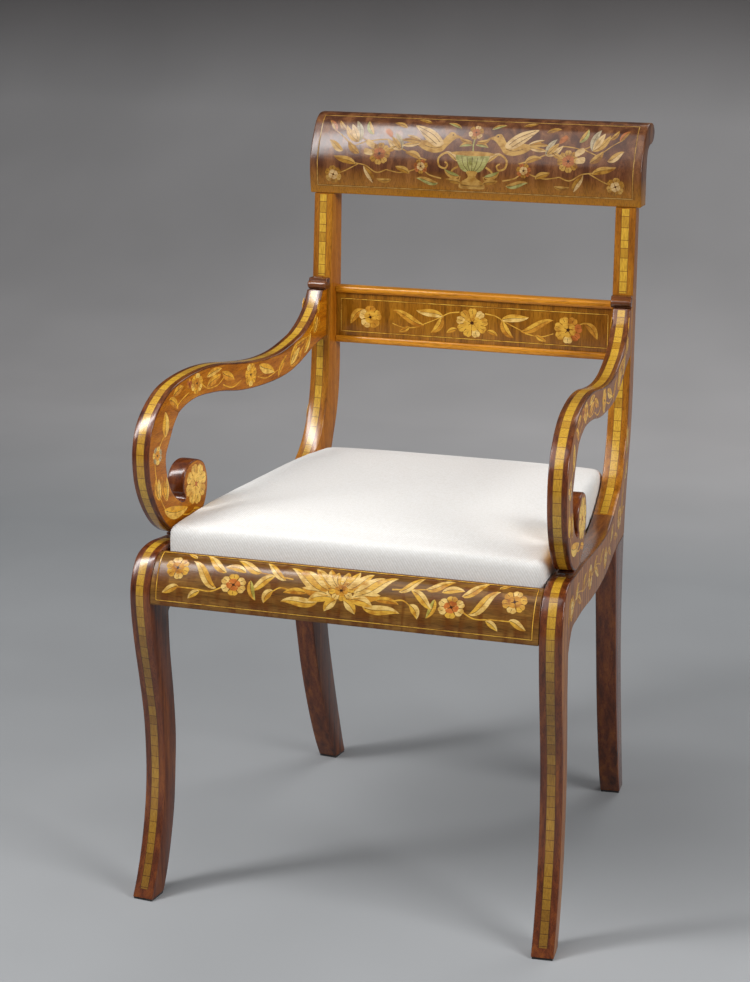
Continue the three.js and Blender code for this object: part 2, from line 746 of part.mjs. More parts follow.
// Middle rail, with a moulding planted on its face along the top and the bottom
function addMidRail() {
  const back = midFront + midRailThickness;
  const panel = [
    new THREE.Vector2(midFront, midBottom),
    new THREE.Vector2(back, midBottom),
    new THREE.Vector2(back, midTop),
    new THREE.Vector2(midFront, midTop),
  ];
  addPiece(
    chair,
    "mid_rail",
    joined(crossRail(panel, fit), sides.map((side) => midTenon(side, 0))),
    veneer,
  );
  const mouldings = {
    mid_rail_moulding_top: [midTop - midMouldingHeight, midTop],
    mid_rail_moulding_bottom: [midBottom, midBottom + midMouldingHeight],
  };
  for (const [name, [bottom, top]] of Object.entries(mouldings)) {
    const face = midFront - fit;
    const section = [
      new THREE.Vector2(face - midMouldingProud, bottom + midMouldingProud),
      new THREE.Vector2(face, bottom),
      new THREE.Vector2(face, top),
      new THREE.Vector2(face - midMouldingProud, top - midMouldingProud),
    ];
    addPiece(chair, name, crossRail(section, fit), mahogany);
  }
}

// Front and rear seat rails, tenoned into the side frames
function addSeatRails() {
  addPiece(
    chair,
    "front_seat_rail",
    joined(crossRail(frontRailProfile(), fit), sides.map((side) => frontTenon(side, 0))),
    veneer,
  );
  addPiece(
    chair,
    "rear_seat_rail",
    joined(crossRail(rearRailProfile(), fit), sides.map((side) => rearTenon(side, 0))),
    mahogany,
  );
}

// Glue blocks in the corners, and a cleat along each side rail, level with the seat's ledge
function addSeatSupports() {
  const blockFront = frontRailBack + fit;
  const blockRear = rearRailFront - fit;
  for (const side of sides) {
    const hand = side > 0 ? "right" : "left";
    const at = (x, y) => new THREE.Vector2(side * x, y);
    const corners = { front: [blockFront, 1], rear: [blockRear, -1] };
    for (const [end, [y, inward]] of Object.entries(corners)) {
      const far = y + inward * cornerBlockLeg;
      const plan = [
        at(innerX(y) - fit, y),
        at(innerX(far) - fit, far),
        at(innerX(y) - fit - cornerBlockLeg, y),
      ];
      addPiece(
        chair,
        "corner_block_" + end + "_" + hand,
        block(plan, ledgeHeight - cornerBlockHeight, ledgeHeight),
        beech,
      );
    }
    const cleatFront = blockFront + cornerBlockLeg + fit;
    const cleatRear = blockRear - cornerBlockLeg - fit;
    const plan = [
      at(innerX(cleatFront) - fit - cleatWidth, cleatFront),
      at(innerX(cleatFront) - fit, cleatFront),
      at(innerX(cleatRear) - fit, cleatRear),
      at(innerX(cleatRear) - fit - cleatWidth, cleatRear),
    ];
    addPiece(
      chair,
      "seat_cleat_" + hand,
      block(plan, ledgeHeight - cleatHeight, ledgeHeight),
      beech,
    );
  }
}

// Drop-in seat: heights of its layers, from the ledge up
const dustBottom = ledgeHeight + fit;
const barBottom = dustBottom + dustClothThickness + fit;
const barTop = barBottom + seatBarThickness;
const webbingBottom = barTop + fit;
const hessianBottom = webbingBottom + webbingThickness + fit;
const stuffingBottom = hessianBottom + hessianThickness + fit;
const cornerSteps = 5;
const edgeSteps = 7;
const shoulderSteps = 3;
const leastRadiusShare = 0.3; // of a corner's radius, however far the plan is drawn in
const crownShares = [0.9, 0.76, 0.58, 0.36]; // rings of the crown, as shares of the plan
const crownPower = 3; // how flat the crown is in the middle

// Distance of the seat's side from the middle, at a depth Y
function seatHalfWidth(y, inset) {
  return innerX(y) - seatPlay - inset;
}

// Plan of the seat: a trapezium with round corners, drawn in by an inset
function seatPlan(inset) {
  const [front, rear] = [seatFront + inset, seatRear - inset];
  const corners = [
    { hand: -1, y: front, round: frontCornerRadius, inward: 1, from: Math.PI },
    { hand: 1, y: front, round: frontCornerRadius, inward: 1, from: (3 * Math.PI) / 2 },
    { hand: 1, y: rear, round: rearCornerRadius, inward: -1, from: 0 },
    { hand: -1, y: rear, round: rearCornerRadius, inward: -1, from: Math.PI / 2 },
  ];
  const arcs = corners.map((corner) => {
    const radius = Math.max(corner.round - inset, corner.round * leastRadiusShare);
    const cy = corner.y + corner.inward * radius;
    const cx = corner.hand * (seatHalfWidth(cy, inset) - radius);
    return Array.from({ length: cornerSteps + 1 }, (_, i) => {
      const angle = corner.from + (Math.PI / 2) * (i / cornerSteps);
      return new THREE.Vector2(cx + radius * Math.cos(angle), cy + radius * Math.sin(angle));
    });
  });
  return arcs.flatMap((arc, i) => {
    const next = arcs[(i + 1) % arcs.length][0];
    const last = arc[arc.length - 1];
    const steps = Array.from({ length: edgeSteps - 1 }, (_, j) => (j + 1) / edgeSteps);
    return [...arc, ...steps.map((step) => last.clone().lerp(next, step))];
  });
}

// One ring of the cushion: the plan, swollen or drawn in, shrunk by a share, at one height
function seatRing(inset, share, z) {
  const middle = new THREE.Vector2(0, (seatFront + seatRear) / 2);
  return seatPlan(inset).map((point) => {
    const placed = point.clone().sub(middle).multiplyScalar(share).add(middle);
    return new THREE.Vector3(placed.x, placed.y, z);
  });
}

// Rings of the shoulder and the crowned top, drawn in by an inset
function crownedRings(inset) {
  const wallTop = barBottom + seatWall - inset;
  const rings = [];
  for (let i = 0; i <= shoulderSteps; i += 1) {
    const angle = (Math.PI / 2) * (i / shoulderSteps);
    const drawnIn = inset + seatShoulder * (1 - Math.cos(angle));
    rings.push(seatRing(drawnIn, 1, wallTop + seatShoulder * Math.sin(angle)));
  }
  const crownBase = wallTop + seatShoulder;
  for (const share of crownShares) {
    const rise = seatCrown * (1 - share ** crownPower);
    rings.push(seatRing(inset + seatShoulder, share, crownBase + rise));
  }
  return { rings, top: new THREE.Vector3(0, (seatFront + seatRear) / 2, crownBase + seatCrown) };
}

// Closes rings of equal counts into one skin; the caps fan to their points.
function skin(rings, firstCap, lastCap) {
  const count = rings[0].length;
  const vertices = [...rings.flat(), firstCap, lastCap].filter(Boolean);
  const faces = [];
  for (let r = 0; r + 1 < rings.length; r += 1) {
    for (let i = 0; i < count; i += 1) {
      const [a, b] = [r * count + i, r * count + ((i + 1) % count)];
      faces.push([a, b, b + count], [a, b + count, a + count]);
    }
  }
  const capBase = rings.length * count;
  const lastRing = (rings.length - 1) * count;
  for (let i = 0; i < count; i += 1) {
    const j = (i + 1) % count;
    if (firstCap) faces.push([capBase, j, i]);
    if (lastCap) faces.push([capBase + (firstCap ? 1 : 0), lastRing + i, lastRing + j]);
  }
  const geometry = new THREE.BufferGeometry();
  const places = vertices.flatMap((vertex) => [vertex.x, vertex.y, vertex.z]);
  geometry.setAttribute("position", new THREE.Float32BufferAttribute(places, 3));
  geometry.setIndex(faces.flat());
  const faceted = geometry.toNonIndexed();
  faceted.computeVertexNormals();
  return faceted;
}

// White cover: a thin shell, open underneath, that wraps the sides of the frame
function addCover(seat) {
  const swell = barBottom + seatWall / 2;
  const bag = (bottom, inset) => {
    const { rings, top } = crownedRings(inset);
    const walls = [seatRing(inset, 1, bottom), seatRing(inset - seatBulge, 1, swell)];
    return toSolid(skin([...walls, ...rings], seatFloor(bottom), top));
  };
  const shell = bag(barBottom, 0).subtract(bag(barBottom - overrun, coverThickness));
  addPiece(seat, "seat_cover", toGeometry(shell), twill);
}

// The middle of the seat at one height
function seatFloor(z) {
  return new THREE.Vector3(0, (seatFront + seatRear) / 2, z);
}

// Stuffing: a crowned pad that fills the cover above the hessian
function addStuffing(seat) {
  const inset = coverThickness + fit;
  const { rings, top } = crownedRings(inset);
  const pad = skin([seatRing(inset, 1, stuffingBottom), ...rings], seatFloor(stuffingBottom), top);
  addPiece(seat, "seat_stuffing", pad, hair);
}

// Beech frame of four bars: the side bars are stub-tenoned into the front and rear ones
function addSeatBars(seat) {
  const inset = coverThickness + fit;
  const plan = new THREE.Shape(seatPlan(inset));
  const slab = (bottom, thickness) =>
    new THREE.ExtrudeGeometry(plan, { depth: thickness, bevelEnabled: false }).translate(0, 0, bottom);
  const innerFront = seatFront + inset + seatBarWidth;
  const innerRear = seatRear - inset - seatBarWidth;
  const reach = frontHalfWidth;
  const whole = toSolid(slab(barBottom, seatBarThickness));
  const middle = (barBottom + barTop) / 2;
  const tongue = seatBarTenonThickness / 2;
  const tongueX = [seatHalfWidth(innerFront, inset) - seatBarWidth, seatHalfWidth(innerRear, inset)];
  const stub = (side, y0, y1, play) => {
    const [near, far] = [tongueX[0] + tongue, tongueX[1] - tongue];
    const [x0, x1] = side > 0 ? [near, far] : [-far, -near];
    return box(x0 - play, x1 + play, y0 - play, y1 + play, middle - tongue - play, middle + tongue + play);
  };
  const frontStub = (side, play) => stub(side, innerFront - seatBarTenon, innerFront + tongue, play);
  const rearStub = (side, play) => stub(side, innerRear - tongue, innerRear + seatBarTenon, play);
  const ends = {
    seat_frame_front: [seatFront - overrun, innerFront, frontStub],
    seat_frame_rear: [innerRear, seatRear + overrun, rearStub],
  };
  for (const [name, [y0, y1, stubs]] of Object.entries(ends)) {
    const bar = whole.intersect(toSolid(box(-reach, reach, y0, y1, barBottom - overrun, barTop + overrun)));
    const sockets = sides.map((side) => stubs(side, fit));
    addPiece(seat, name, carved(toGeometry(bar), sockets), beech);
  }
  for (const side of sides) {
    const hand = side > 0 ? "right" : "left";
    const edge = (y, drawn) => new THREE.Vector2(side * (seatHalfWidth(y, inset) - drawn), y);
    const [front, rear] = [innerFront + fit, innerRear - fit];
    const outline = [
      edge(front, seatBarWidth),
      edge(front, 0),
      edge(rear, 0),
      edge(rear, seatBarWidth),
    ];
    const bar = block(outline, barBottom, barTop);
    const stubs = [frontStub(side, 0), rearStub(side, 0)];
    addPiece(seat, "seat_frame_" + hand, joined(bar, stubs), beech);
  }
}

// Webbing: straps crossing at even steps, as one woven grid tacked to the bars
function addWebbing(seat) {
  const plan = seatPlan(coverThickness + fit + webEdge / 2);
  const grid = block(plan, webbingBottom, webbingBottom + webbingThickness);
  const pitch = webStrapWidth + webGap;
  const half = webGap / 2;
  const room = seatRear - seatFront - 2 * webEdge - webStrapWidth;
  const rows = Math.floor(room / pitch);
  const holes = [];
  for (let row = 0; row < rows; row += 1) {
    const y = (seatFront + seatRear) / 2 + (row - (rows - 1) / 2) * pitch;
    const width = 2 * seatHalfWidth(y + half, webEdge + webStrapWidth / 2);
    const columns = Math.floor(width / pitch);
    for (let column = 0; column < columns; column += 1) {
      const x = (column - (columns - 1) / 2) * pitch;
      const [under, over] = [webbingBottom - overrun, webbingBottom + overrun];
      holes.push(box(x - half, x + half, y - half, y + half, under, over));
    }
  }
  addPiece(seat, "seat_webbing", carved(grid, holes), jute);
}

// Hessian over the webbing, and the black dust cloth under the frame
function addSeatCloths(seat) {
  const inset = coverThickness + fit;
  const sheet = (name, bottom, thickness, finish) => {
    const plan = new THREE.Shape(seatPlan(inset));
    const geometry = new THREE.ExtrudeGeometry(plan, { depth: thickness, bevelEnabled: false });
    addPiece(seat, name, geometry.translate(0, 0, bottom), finish);
  };
  sheet("seat_hessian", hessianBottom, hessianThickness, jute);
  sheet("seat_dust_cloth", dustBottom, dustClothThickness, calico);
}

function addSeat() {
  const seat = new THREE.Group();
  seat.name = "seat";
  chair.add(seat);
  addSeatBars(seat);
  addWebbing(seat);
  addSeatCloths(seat);
  addStuffing(seat);
  addCover(seat);
}

addCrest();
addMidRail();
addSeatRails();
addSeatSupports();
addSeat();

export default chair;
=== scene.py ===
import logging
import math
from collections.abc import Callable, Sequence
from dataclasses import dataclass, field
from enum import Enum

import bmesh
import bpy
from mathutils import Matrix, Vector
from mathutils.geometry import tessellate_polygon


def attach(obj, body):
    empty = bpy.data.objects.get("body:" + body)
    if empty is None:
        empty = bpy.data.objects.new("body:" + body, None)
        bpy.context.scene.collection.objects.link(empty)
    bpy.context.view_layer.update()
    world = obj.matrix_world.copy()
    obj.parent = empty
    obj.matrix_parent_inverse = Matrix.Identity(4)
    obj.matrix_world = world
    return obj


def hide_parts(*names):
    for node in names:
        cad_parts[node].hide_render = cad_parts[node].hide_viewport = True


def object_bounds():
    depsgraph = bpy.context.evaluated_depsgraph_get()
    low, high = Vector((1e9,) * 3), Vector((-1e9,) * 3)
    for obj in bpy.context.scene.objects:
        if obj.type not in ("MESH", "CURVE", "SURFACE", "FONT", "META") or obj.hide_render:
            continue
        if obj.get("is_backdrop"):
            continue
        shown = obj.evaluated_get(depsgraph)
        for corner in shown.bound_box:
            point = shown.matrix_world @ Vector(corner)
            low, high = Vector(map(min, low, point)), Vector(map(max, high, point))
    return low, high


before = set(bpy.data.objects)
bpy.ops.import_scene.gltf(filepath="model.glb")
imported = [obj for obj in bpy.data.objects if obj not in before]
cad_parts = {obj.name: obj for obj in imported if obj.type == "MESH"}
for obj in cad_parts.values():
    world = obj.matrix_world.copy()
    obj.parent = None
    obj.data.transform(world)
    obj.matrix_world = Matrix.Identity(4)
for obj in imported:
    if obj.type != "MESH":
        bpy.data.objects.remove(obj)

LOG = logging.getLogger("marquetry_chair")
MM = 0.001
TINY = 1e-9
FRAME_BODY = "chair_frame"
SEAT_BODY = "seat"

Flat = tuple[float, float]
Spot = tuple[float, float, float]
Run = Sequence[Flat]
Place = Callable[[float, float, float], Vector]
Piece = bpy.types.Object
Material = bpy.types.Material
Tree = bpy.types.NodeTree
Node = bpy.types.Node
Socket = tuple[Node, str | int]
Mesh = bmesh.types.BMesh
Vert = bmesh.types.BMVert


class Hand(Enum):
    """The two side frames, with the sign of their X."""

    LEFT = -1
    RIGHT = 1

    @property
    def word(self) -> str:
        """The ending of the side's piece names."""
        return self.name.lower()


# ---- curves in a plane


def spline(points: Run, steps: int = 8) -> list[Flat]:
    """A smooth run through points.

    Args:
        points: The points it goes through.
        steps: How many pieces each span is cut into.

    Returns:
        The points of the run, both ends with them.
    """
    last = len(points) - 1
    run: list[Flat] = []
    for i in range(last):
        a, b, c, d = (points[max(i - 1, 0)], points[i], points[i + 1], points[min(i + 2, last)])
        for k in range(steps):
            t = k / steps
            run.append(tuple(_catmull(a[n], b[n], c[n], d[n], t) for n in (0, 1)))
    run.append(points[last])
    return run


def _catmull(a: float, b: float, c: float, d: float, t: float) -> float:
    """One coordinate of a uniform Catmull-Rom span from b to c."""
    v0, v1 = (c - a) / 2, (d - b) / 2
    return (2 * b - 2 * c + v0 + v1) * t**3 + (-3 * b + 3 * c - 2 * v0 - v1) * t**2 + v0 * t + b


def signed_area(outline: Run) -> float:
    """The area of a closed outline, positive when it runs anticlockwise."""
    pairs = zip(outline, [*outline[1:], outline[0]])
    return sum(a[0] * b[1] - b[0] * a[1] for a, b in pairs) / 2


def outward_normals(outline: Run) -> list[Flat]:
    """The outward unit normal at each point of a closed outline.

    Args:
        outline: The closed outline, either way round.

    Returns:
        A normal for each point, half way between those of its two edges.
    """
    sign = 1 if signed_area(outline) > 0 else -1
    normals = []
    for i, here in enumerate(outline):
        total = Vector((0.0, 0.0))
        for a, b in ((outline[i - 1], here), (here, outline[(i + 1) % len(outline)])):
            step = Vector((b[1] - a[1], a[0] - b[0]))
            total += step.normalized() if step.length > TINY else step
        total = total.normalized() * sign if total.length > TINY else Vector((0.0, 0.0))
        normals.append((total.x, total.y))
    return normals


def run_normals(run: Run) -> list[Flat]:
    """The left-hand unit normal at each point of an open run.

    Args:
        run: The points of the run.

    Returns:
        A normal for each point.
    """
    normals = []
    for i in range(len(run)):
        a, b = run[max(i - 1, 0)], run[min(i + 1, len(run) - 1)]
        along = Vector((b[0] - a[0], b[1] - a[1])).normalized()
        normals.append((-along.y, along.x))
    return normals


def between(a: Flat, b: Flat, share: float, aside: float = 0.0) -> Flat:
    """A point on the line from a to b, or beside it.

    Args:
        a: Where the line starts.
        b: Where it ends.
        share: How far along it the point lies, as a share of its length.
        aside: How far to its left, as a share of its length.

    Returns:
        The point.
    """
    dx, dy = b[0] - a[0], b[1] - a[1]
    return (a[0] + dx * share - dy * aside, a[1] + dy * share + dx * aside)


def lengths_along(run: Run) -> list[float]:
    """The length of a run up to each of its points.

    Args:
        run: The points of the run.

    Returns:
        A length for each point, the first of them 0.
    """
    total, lengths = 0.0, [0.0]
    for a, b in zip(run, run[1:]):
        total += math.dist(a, b)
        lengths.append(total)
    return lengths


def at_length(run: Run, lengths: Sequence[float], length: float) -> tuple[Flat, Flat]:
    """A place on a run, by its length from the start.

    Args:
        run: The points of the run.
        lengths: What lengths_along says of it.
        length: How far along the place is; it may lie beyond either end.

    Returns:
        The point, and the unit direction of the run there.
    """
    i = 0
    while i < len(run) - 2 and lengths[i + 1] < length:
        i += 1
    a, b = run[i], run[i + 1]
    span = lengths[i + 1] - lengths[i]
    direction = ((b[0] - a[0]) / span, (b[1] - a[1]) / span)
    return between(a, b, (length - lengths[i]) / span), direction


def crossing(run: Run, height: float) -> float:
    """Where a run passes a height.

    Args:
        run: The points of the run.
        height: The second coordinate that it passes.

    Returns:
        The first coordinate there, or that of the run's end if it never does.
    """
    for a, b in zip(run, run[1:]):
        if (a[1] - height) * (b[1] - height) <= 0 and a[1] != b[1]:
            return a[0] + (b[0] - a[0]) * (height - a[1]) / (b[1] - a[1])
    return run[-1][0]


def eased(outline: Run, radius: float, sharp: float = 35.0) -> list[Flat]:
    """An outline with its sharp corners rounded.

    Args:
        outline: A closed outline.
        radius: How far from a corner the round begins.
        sharp: Corners that turn less than this many degrees stay.

    Returns:
        The outline with three points in place of each sharp corner.
    """
    result: list[Flat] = []
    count = len(outline)
    for i, here in enumerate(outline):
        before, after = Vector(outline[i - 1]), Vector(outline[(i + 1) % count])
        corner = Vector(here)
        back, ahead = before - corner, after - corner
        if min(back.length, ahead.length) < TINY:
            continue
        if math.degrees(math.pi - back.angle(ahead)) < sharp:
            result.append(here)
            continue
        near = corner + back.normalized() * min(radius, back.length / 2.2)
        far = corner + ahead.normalized() * min(radius, ahead.length / 2.2)
        middle = (near + far + corner * 2) / 4
        result.extend([tuple(near), tuple(middle), tuple(far)])
    return result


# ---- meshes


def to_object(bm: Mesh, name: str, finishes: Sequence[Material]) -> Piece:
    """A finished mesh as an object of the scene.

    Args:
        bm: The mesh, in metres; it is freed.
        name: The piece's name.
        finishes: Its materials, in the order that its faces number them.

    Returns:
        The new object, linked to the scene.
    """
    mesh = bpy.data.meshes.new(name)
    bmesh.ops.remove_doubles(bm, verts=bm.verts, dist=1e-7)
    bmesh.ops.recalc_face_normals(bm, faces=bm.faces)
    bm.to_mesh(mesh)
    bm.free()
    for finish in finishes:
        mesh.materials.append(finish)
    mesh.shade_smooth()
    mesh.set_sharp_from_angle(angle=math.radians(38))
    piece = bpy.data.objects.new(name, mesh)
    bpy.context.scene.collection.objects.link(piece)
    return piece


def held_by(piece: Piece, body: str, slot: str, *nodes: str) -> Piece:
    """Rides a piece on its body, and hides the nodes that it stands for.

    Args:
        piece: The piece.
        body: The body that carries it.
        slot: Not used.
        nodes: The nodes that it stands for.

    Returns:
        The same piece.
    """
    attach(piece, body)
    if nodes:
        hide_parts(*nodes)
    LOG.info("%s: %d faces", piece.name, len(piece.data.polygons))
    return piece


def skin(bm: Mesh, rings: Sequence[Sequence[Vert]], closed: bool = True) -> None:
    """Adds the faces between each row of points and the next.

    Args:
        bm: The mesh that gets the faces.
        rings: The rows, all of the same length.
        closed: True where each row is a ring.
    """
    for a, b in zip(rings, rings[1:]):
        count = len(a)
        for i in range(count if closed else count - 1):
            j = (i + 1) % count
            bm.faces.new((a[i], a[j], b[j], b[i]))


@dataclass(frozen=True)
class Edge:
    """How the two faces of a lofted piece meet its edge, in millimetres."""

    round: float = 0.9
    crown: float = 0.0
    steps: int = 3
    spans: int = 2


def stations(thickness: float, edge: Edge) -> list[tuple[float, float, float]]:
    """Slices across a board.

    Args:
        thickness: The board's thickness.
        edge: Its rounded arrises and its crown.

    Returns:
        For each slice its depth, how far its arris is drawn in, and its share of the crown.
    """
    ring = []
    for i in range(edge.steps + 1):
        angle = math.pi / 2 * i / edge.steps
        ring.append((edge.round * (1 - math.cos(angle)), edge.round * (1 - math.sin(angle))))
    flat = (thickness - 2 * edge.round) / edge.spans
    middle = [(edge.round + flat * i, 0.0) for i in range(1, edge.spans)]
    far = [(thickness - depth, inset) for depth, inset in reversed(ring)]
    return [(d, inset, (2 * d / thickness - 1) ** 2) for d, inset in [*ring, *middle, *far]]


def loft(
    bm: Mesh,
    outline: Run,
    thickness: float,
    edge: Edge,
    place: Place,
    crowned: Sequence[float] | None = None,
    cap_finishes: tuple[int, int] = (0, 0),
    normals: Run | None = None,
) -> None:
    """Adds a board to a mesh: an outline carried across its thickness.

    Args:
        bm: The mesh that gets the board.
        outline: The closed outline.
        thickness: How far the board goes.
        edge: Its arrises and its crown.
        place: Turns an outline point and a depth into a place in metres.
        crowned: For each outline point, its share of the crown.
        cap_finishes: Material numbers of the first and the last face.
        normals: Outward normals of the outline, where a joint mustn't be drawn in.
    """
    normals = normals or outward_normals(outline)
    weights = crowned or [0.0] * len(outline)
    rings = []
    for depth, inset, share in stations(thickness, edge):
        ring = []
        for (u, v), (nu, nv), weight in zip(outline, normals, weights):
            drawn = inset + edge.crown * share * weight
            ring.append(bm.verts.new(place(u - nu * drawn, v - nv * drawn, depth)))
        rings.append(ring)
    skin(bm, rings)
    for ring, finish in zip((rings[0], rings[-1]), cap_finishes):
        flat = [Vector((u, v, 0.0)) for u, v in outline]
        for corners in tessellate_polygon([flat]):
            face = bm.faces.new([ring[i] for i in corners])
            face.material_index = finish


def strip(
    bm: Mesh,
    run: Run,
    width: float,
    centre: float,
    place: Place,
    drop: Callable[[float], float],
    proud: float = 0.05,
    depth: float = 1.0,
    columns: int = 4,
) -> None:
    """Adds a strip of inlay that follows the crowned edge of a board.

    Args:
        bm: The mesh that gets the strip; its UV says how far along and across a point lies.
        run: The line that the strip follows, with the wood on its left.
        width: The strip's width.
        centre: The depth in the board of the strip's middle.
        place: The board's own mapping to metres.
        drop: How far the crown has fallen at a depth in the board.
        proud: How far the strip stands above the crown.
        depth: How far it goes into the wood.
        columns: Pieces across its width.
    """
    uv = bm.loops.layers.uv.verify()
    marks: dict[Vert, Flat] = {}
    rings = []
    round_it = [(c, -proud) for c in range(columns + 1)]
    round_it += [(c, depth) for c in range(columns, -1, -1)]
    for (u, v), (nu, nv), length in zip(run, run_normals(run), lengths_along(run)):
        ring = []
        for c, sink in round_it:
            across = (c / columns - 0.5) * width
            into = sink + drop(centre + across)
            vert = bm.verts.new(place(u + nu * into, v + nv * into, centre + across))
            marks[vert] = (length * MM, across * MM)
            ring.append(vert)
        rings.append(ring)
    skin(bm, rings)
    for ring in (rings[0], rings[-1]):
        for c in range(columns):
            bm.faces.new((ring[c], ring[c + 1], ring[-c - 2], ring[-c - 1]))
    for vert, mark in marks.items():
        for loop in vert.link_loops:
            loop[uv].uv = mark


# ---- materials


def linear(colour: str) -> tuple[float, float, float, float]:
    """An sRGB hex colour, such as "#c8952e", as the linear colour that a node takes."""
    parts = [int(colour[i : i + 2], 16) / 255 for i in (1, 3, 5)]
    return (*(c / 12.92 if c <= 0.04045 else ((c + 0.055) / 1.055) ** 2.4 for c in parts), 1.0)


def feed(made: Node, inputs: dict[str | int, float | tuple | Node | Socket]) -> None:
    """Gives a node's inputs their values and links.

    Args:
        made: The node.
        inputs: For each input, by name or number: its value, or the node that feeds it from its
            first output in use, or that node with the name of its output.
    """
    for key, value in inputs.items():
        if isinstance(value, Node):
            value = (value, next(i for i, output in enumerate(value.outputs) if output.enabled))
        if isinstance(value, tuple) and isinstance(value[0], Node):
            made.id_data.links.new(value[0].outputs[value[1]], made.inputs[key])
        else:
            made.inputs[key].default_value = value


def node(
    tree: Tree,
    kind: str,
    inputs: dict[str | int, float | tuple | Node | Socket] | None = None,
    stops: Sequence[tuple[float, str]] = (),
    **settings: float | str | bool,
) -> Node:
    """Adds one node with its settings and links.

    Args:
        tree: The node tree.
        kind: The node's type, without its "ShaderNode" beginning.
        inputs: What feeds its inputs, as feed takes it.
        stops: A colour ramp's places from 0 to 1, each with its hex colour.
        settings: The node's own properties.

    Returns:
        The new node.
    """
    made = tree.nodes.new("ShaderNode" + kind)
    for name, value in settings.items():
        setattr(made, name, value)
    feed(made, inputs or {})
    while stops and len(made.color_ramp.elements) < len(stops):
        made.color_ramp.elements.new(0.5)
    for i, (position, colour) in enumerate(stops):
        element = made.color_ramp.elements[i]
        element.position, element.color = position, linear(colour)
    return made


def new_material(name: str) -> tuple[Material, Tree, Node]:
    """A node material with only its shader, and that shader.

    Args:
        name: What the finish is.

    Returns:
        The material, its tree and its Principled shader.
    """
    material = bpy.data.materials.new(name)
    material.use_nodes = True
    tree = material.node_tree
    tree.nodes.clear()
    shader = node(tree, "BsdfPrincipled")
    node(tree, "OutputMaterial", {"Surface": shader})
    return material, tree, shader


def sized(tree: Tree, *millimetres: float) -> dict[str, float | Node]:
    """What gives a pattern its real size, in the piece's own coordinates.

    Args:
        tree: The material's node tree.
        millimetres: How long its clouds or ribs are, every way or along X, Y and Z.

    Returns:
        The pattern's Vector and Scale.
    """
    sizes = millimetres if len(millimetres) == 3 else millimetres * 3
    scale = tuple(1000 / size for size in sizes)
    place = {"Vector": (node(tree, "TexCoord"), "Object"), "Scale": scale}
    return {"Vector": node(tree, "Mapping", place), "Scale": 1.0}


class Grain(Enum):
    """Which way the wood of a piece runs: the size in mm of its figure along X, Y and Z."""

    UPRIGHT = (9.0, 9.0, 130.0)
    BACKWARD = (9.0, 130.0, 9.0)
    ACROSS = (130.0, 9.0, 9.0)

    def finer(self, factor: float) -> Spot:
        """The same direction at another size."""
        return tuple(size * factor for size in self.value)


# Shellac, rubbed until it shines: a clear coat that mirrors the room, over wood with no shine.
POLISH = {"Specular IOR Level": 0.03, "Coat IOR": 1.65, "Coat Roughness": 0.19}

# A Mix node for colours: its factor is input 0, and its two colours are inputs 6 and 7.
MIX = {"data_type": "RGBA"}
MULTIPLY = {"data_type": "RGBA", "blend_type": "MULTIPLY"}


@dataclass(frozen=True)
class PolishedWood:
    """Wood under French polish: many thin coats of shellac, rubbed until they shine.

    The figure is a soft streak along the grain, the pores are short dark flecks, and the polish
    lies over both. Bands are darker clouds of crossing grain; painted light is a paler tone lower
    down.
    """

    name: str
    dark: str
    middle: str
    light: str
    grain: Grain
    gloss: float = 0.4
    contrast: float = 0.8
    sap: str = ""
    sap_from: float = 0.0
    sap_to: float = 0.0
    bands: str = ""
    band_size: float = 16.0

    def material(self) -> Material:
        """The finish as a node material.

        Returns:
            The material.
        """
        made, tree, shader = new_material(self.name)
        figure = self._figure(tree)
        pore = node(tree, "TexNoise", {**sized(tree, *self.grain.finer(0.08)), "Detail": 2.0})
        fleck = node(tree, "ValToRGB", {"Fac": pore}, [(0.36, "#8a8a8a"), (0.5, "#ffffff")])
        # Painted light: below a given height the figure gives way to a paler, golden tone.
        if self.sap:
            place = node(tree, "SeparateXYZ", {0: (node(tree, "TexCoord"), "Object")})
            ends = {"From Min": self.sap_from * MM, "From Max": self.sap_to * MM}
            rise = node(tree, "MapRange", {"Value": (place, "Z"), **ends})
            figure = node(tree, "Mix", {0: rise, 6: linear(self.sap), 7: figure}, **MIX)
        colour = node(tree, "Mix", {0: 0.5, 6: figure, 7: fleck}, **MULTIPLY)
        relief = node(tree, "Bump", {"Height": pore, "Strength": 0.05, "Distance": 0.0004})
        feed(shader, {"Base Color": colour, "Roughness": 0.42, "IOR": 1.5, "Normal": relief})
        feed(shader, {"Coat Weight": self.gloss, **POLISH})
        return made

    def _figure(self, tree: Tree) -> Node:
        """The streaked figure of the wood, with darker bands where the finish has them.

        Args:
            tree: The material's node tree.

        Returns:
            The node that gives the figure's colour.
        """
        way = {**sized(tree, *self.grain.value), "Detail": 5.0}
        streak = node(tree, "TexNoise", {**way, "Roughness": 0.62, "Distortion": 0.35})
        spread = 0.16 / self.contrast
        stops = [(0.5 - spread, self.dark), (0.5, self.middle), (0.5 + spread, self.light)]
        figure = node(tree, "ValToRGB", {"Fac": streak}, stops)
        if not self.bands:
            return figure
        size = sized(tree, self.band_size, self.band_size, self.band_size * 6)
        band = node(tree, "TexNoise", {**size, "Detail": 3.0, "Distortion": 0.6})
        mask = node(tree, "ValToRGB", {"Fac": band}, [(0.46, "#ffffff"), (0.62, "#000000")])
        return node(tree, "Mix", {0: mask, 6: linear(self.bands), 7: figure}, **MIX)


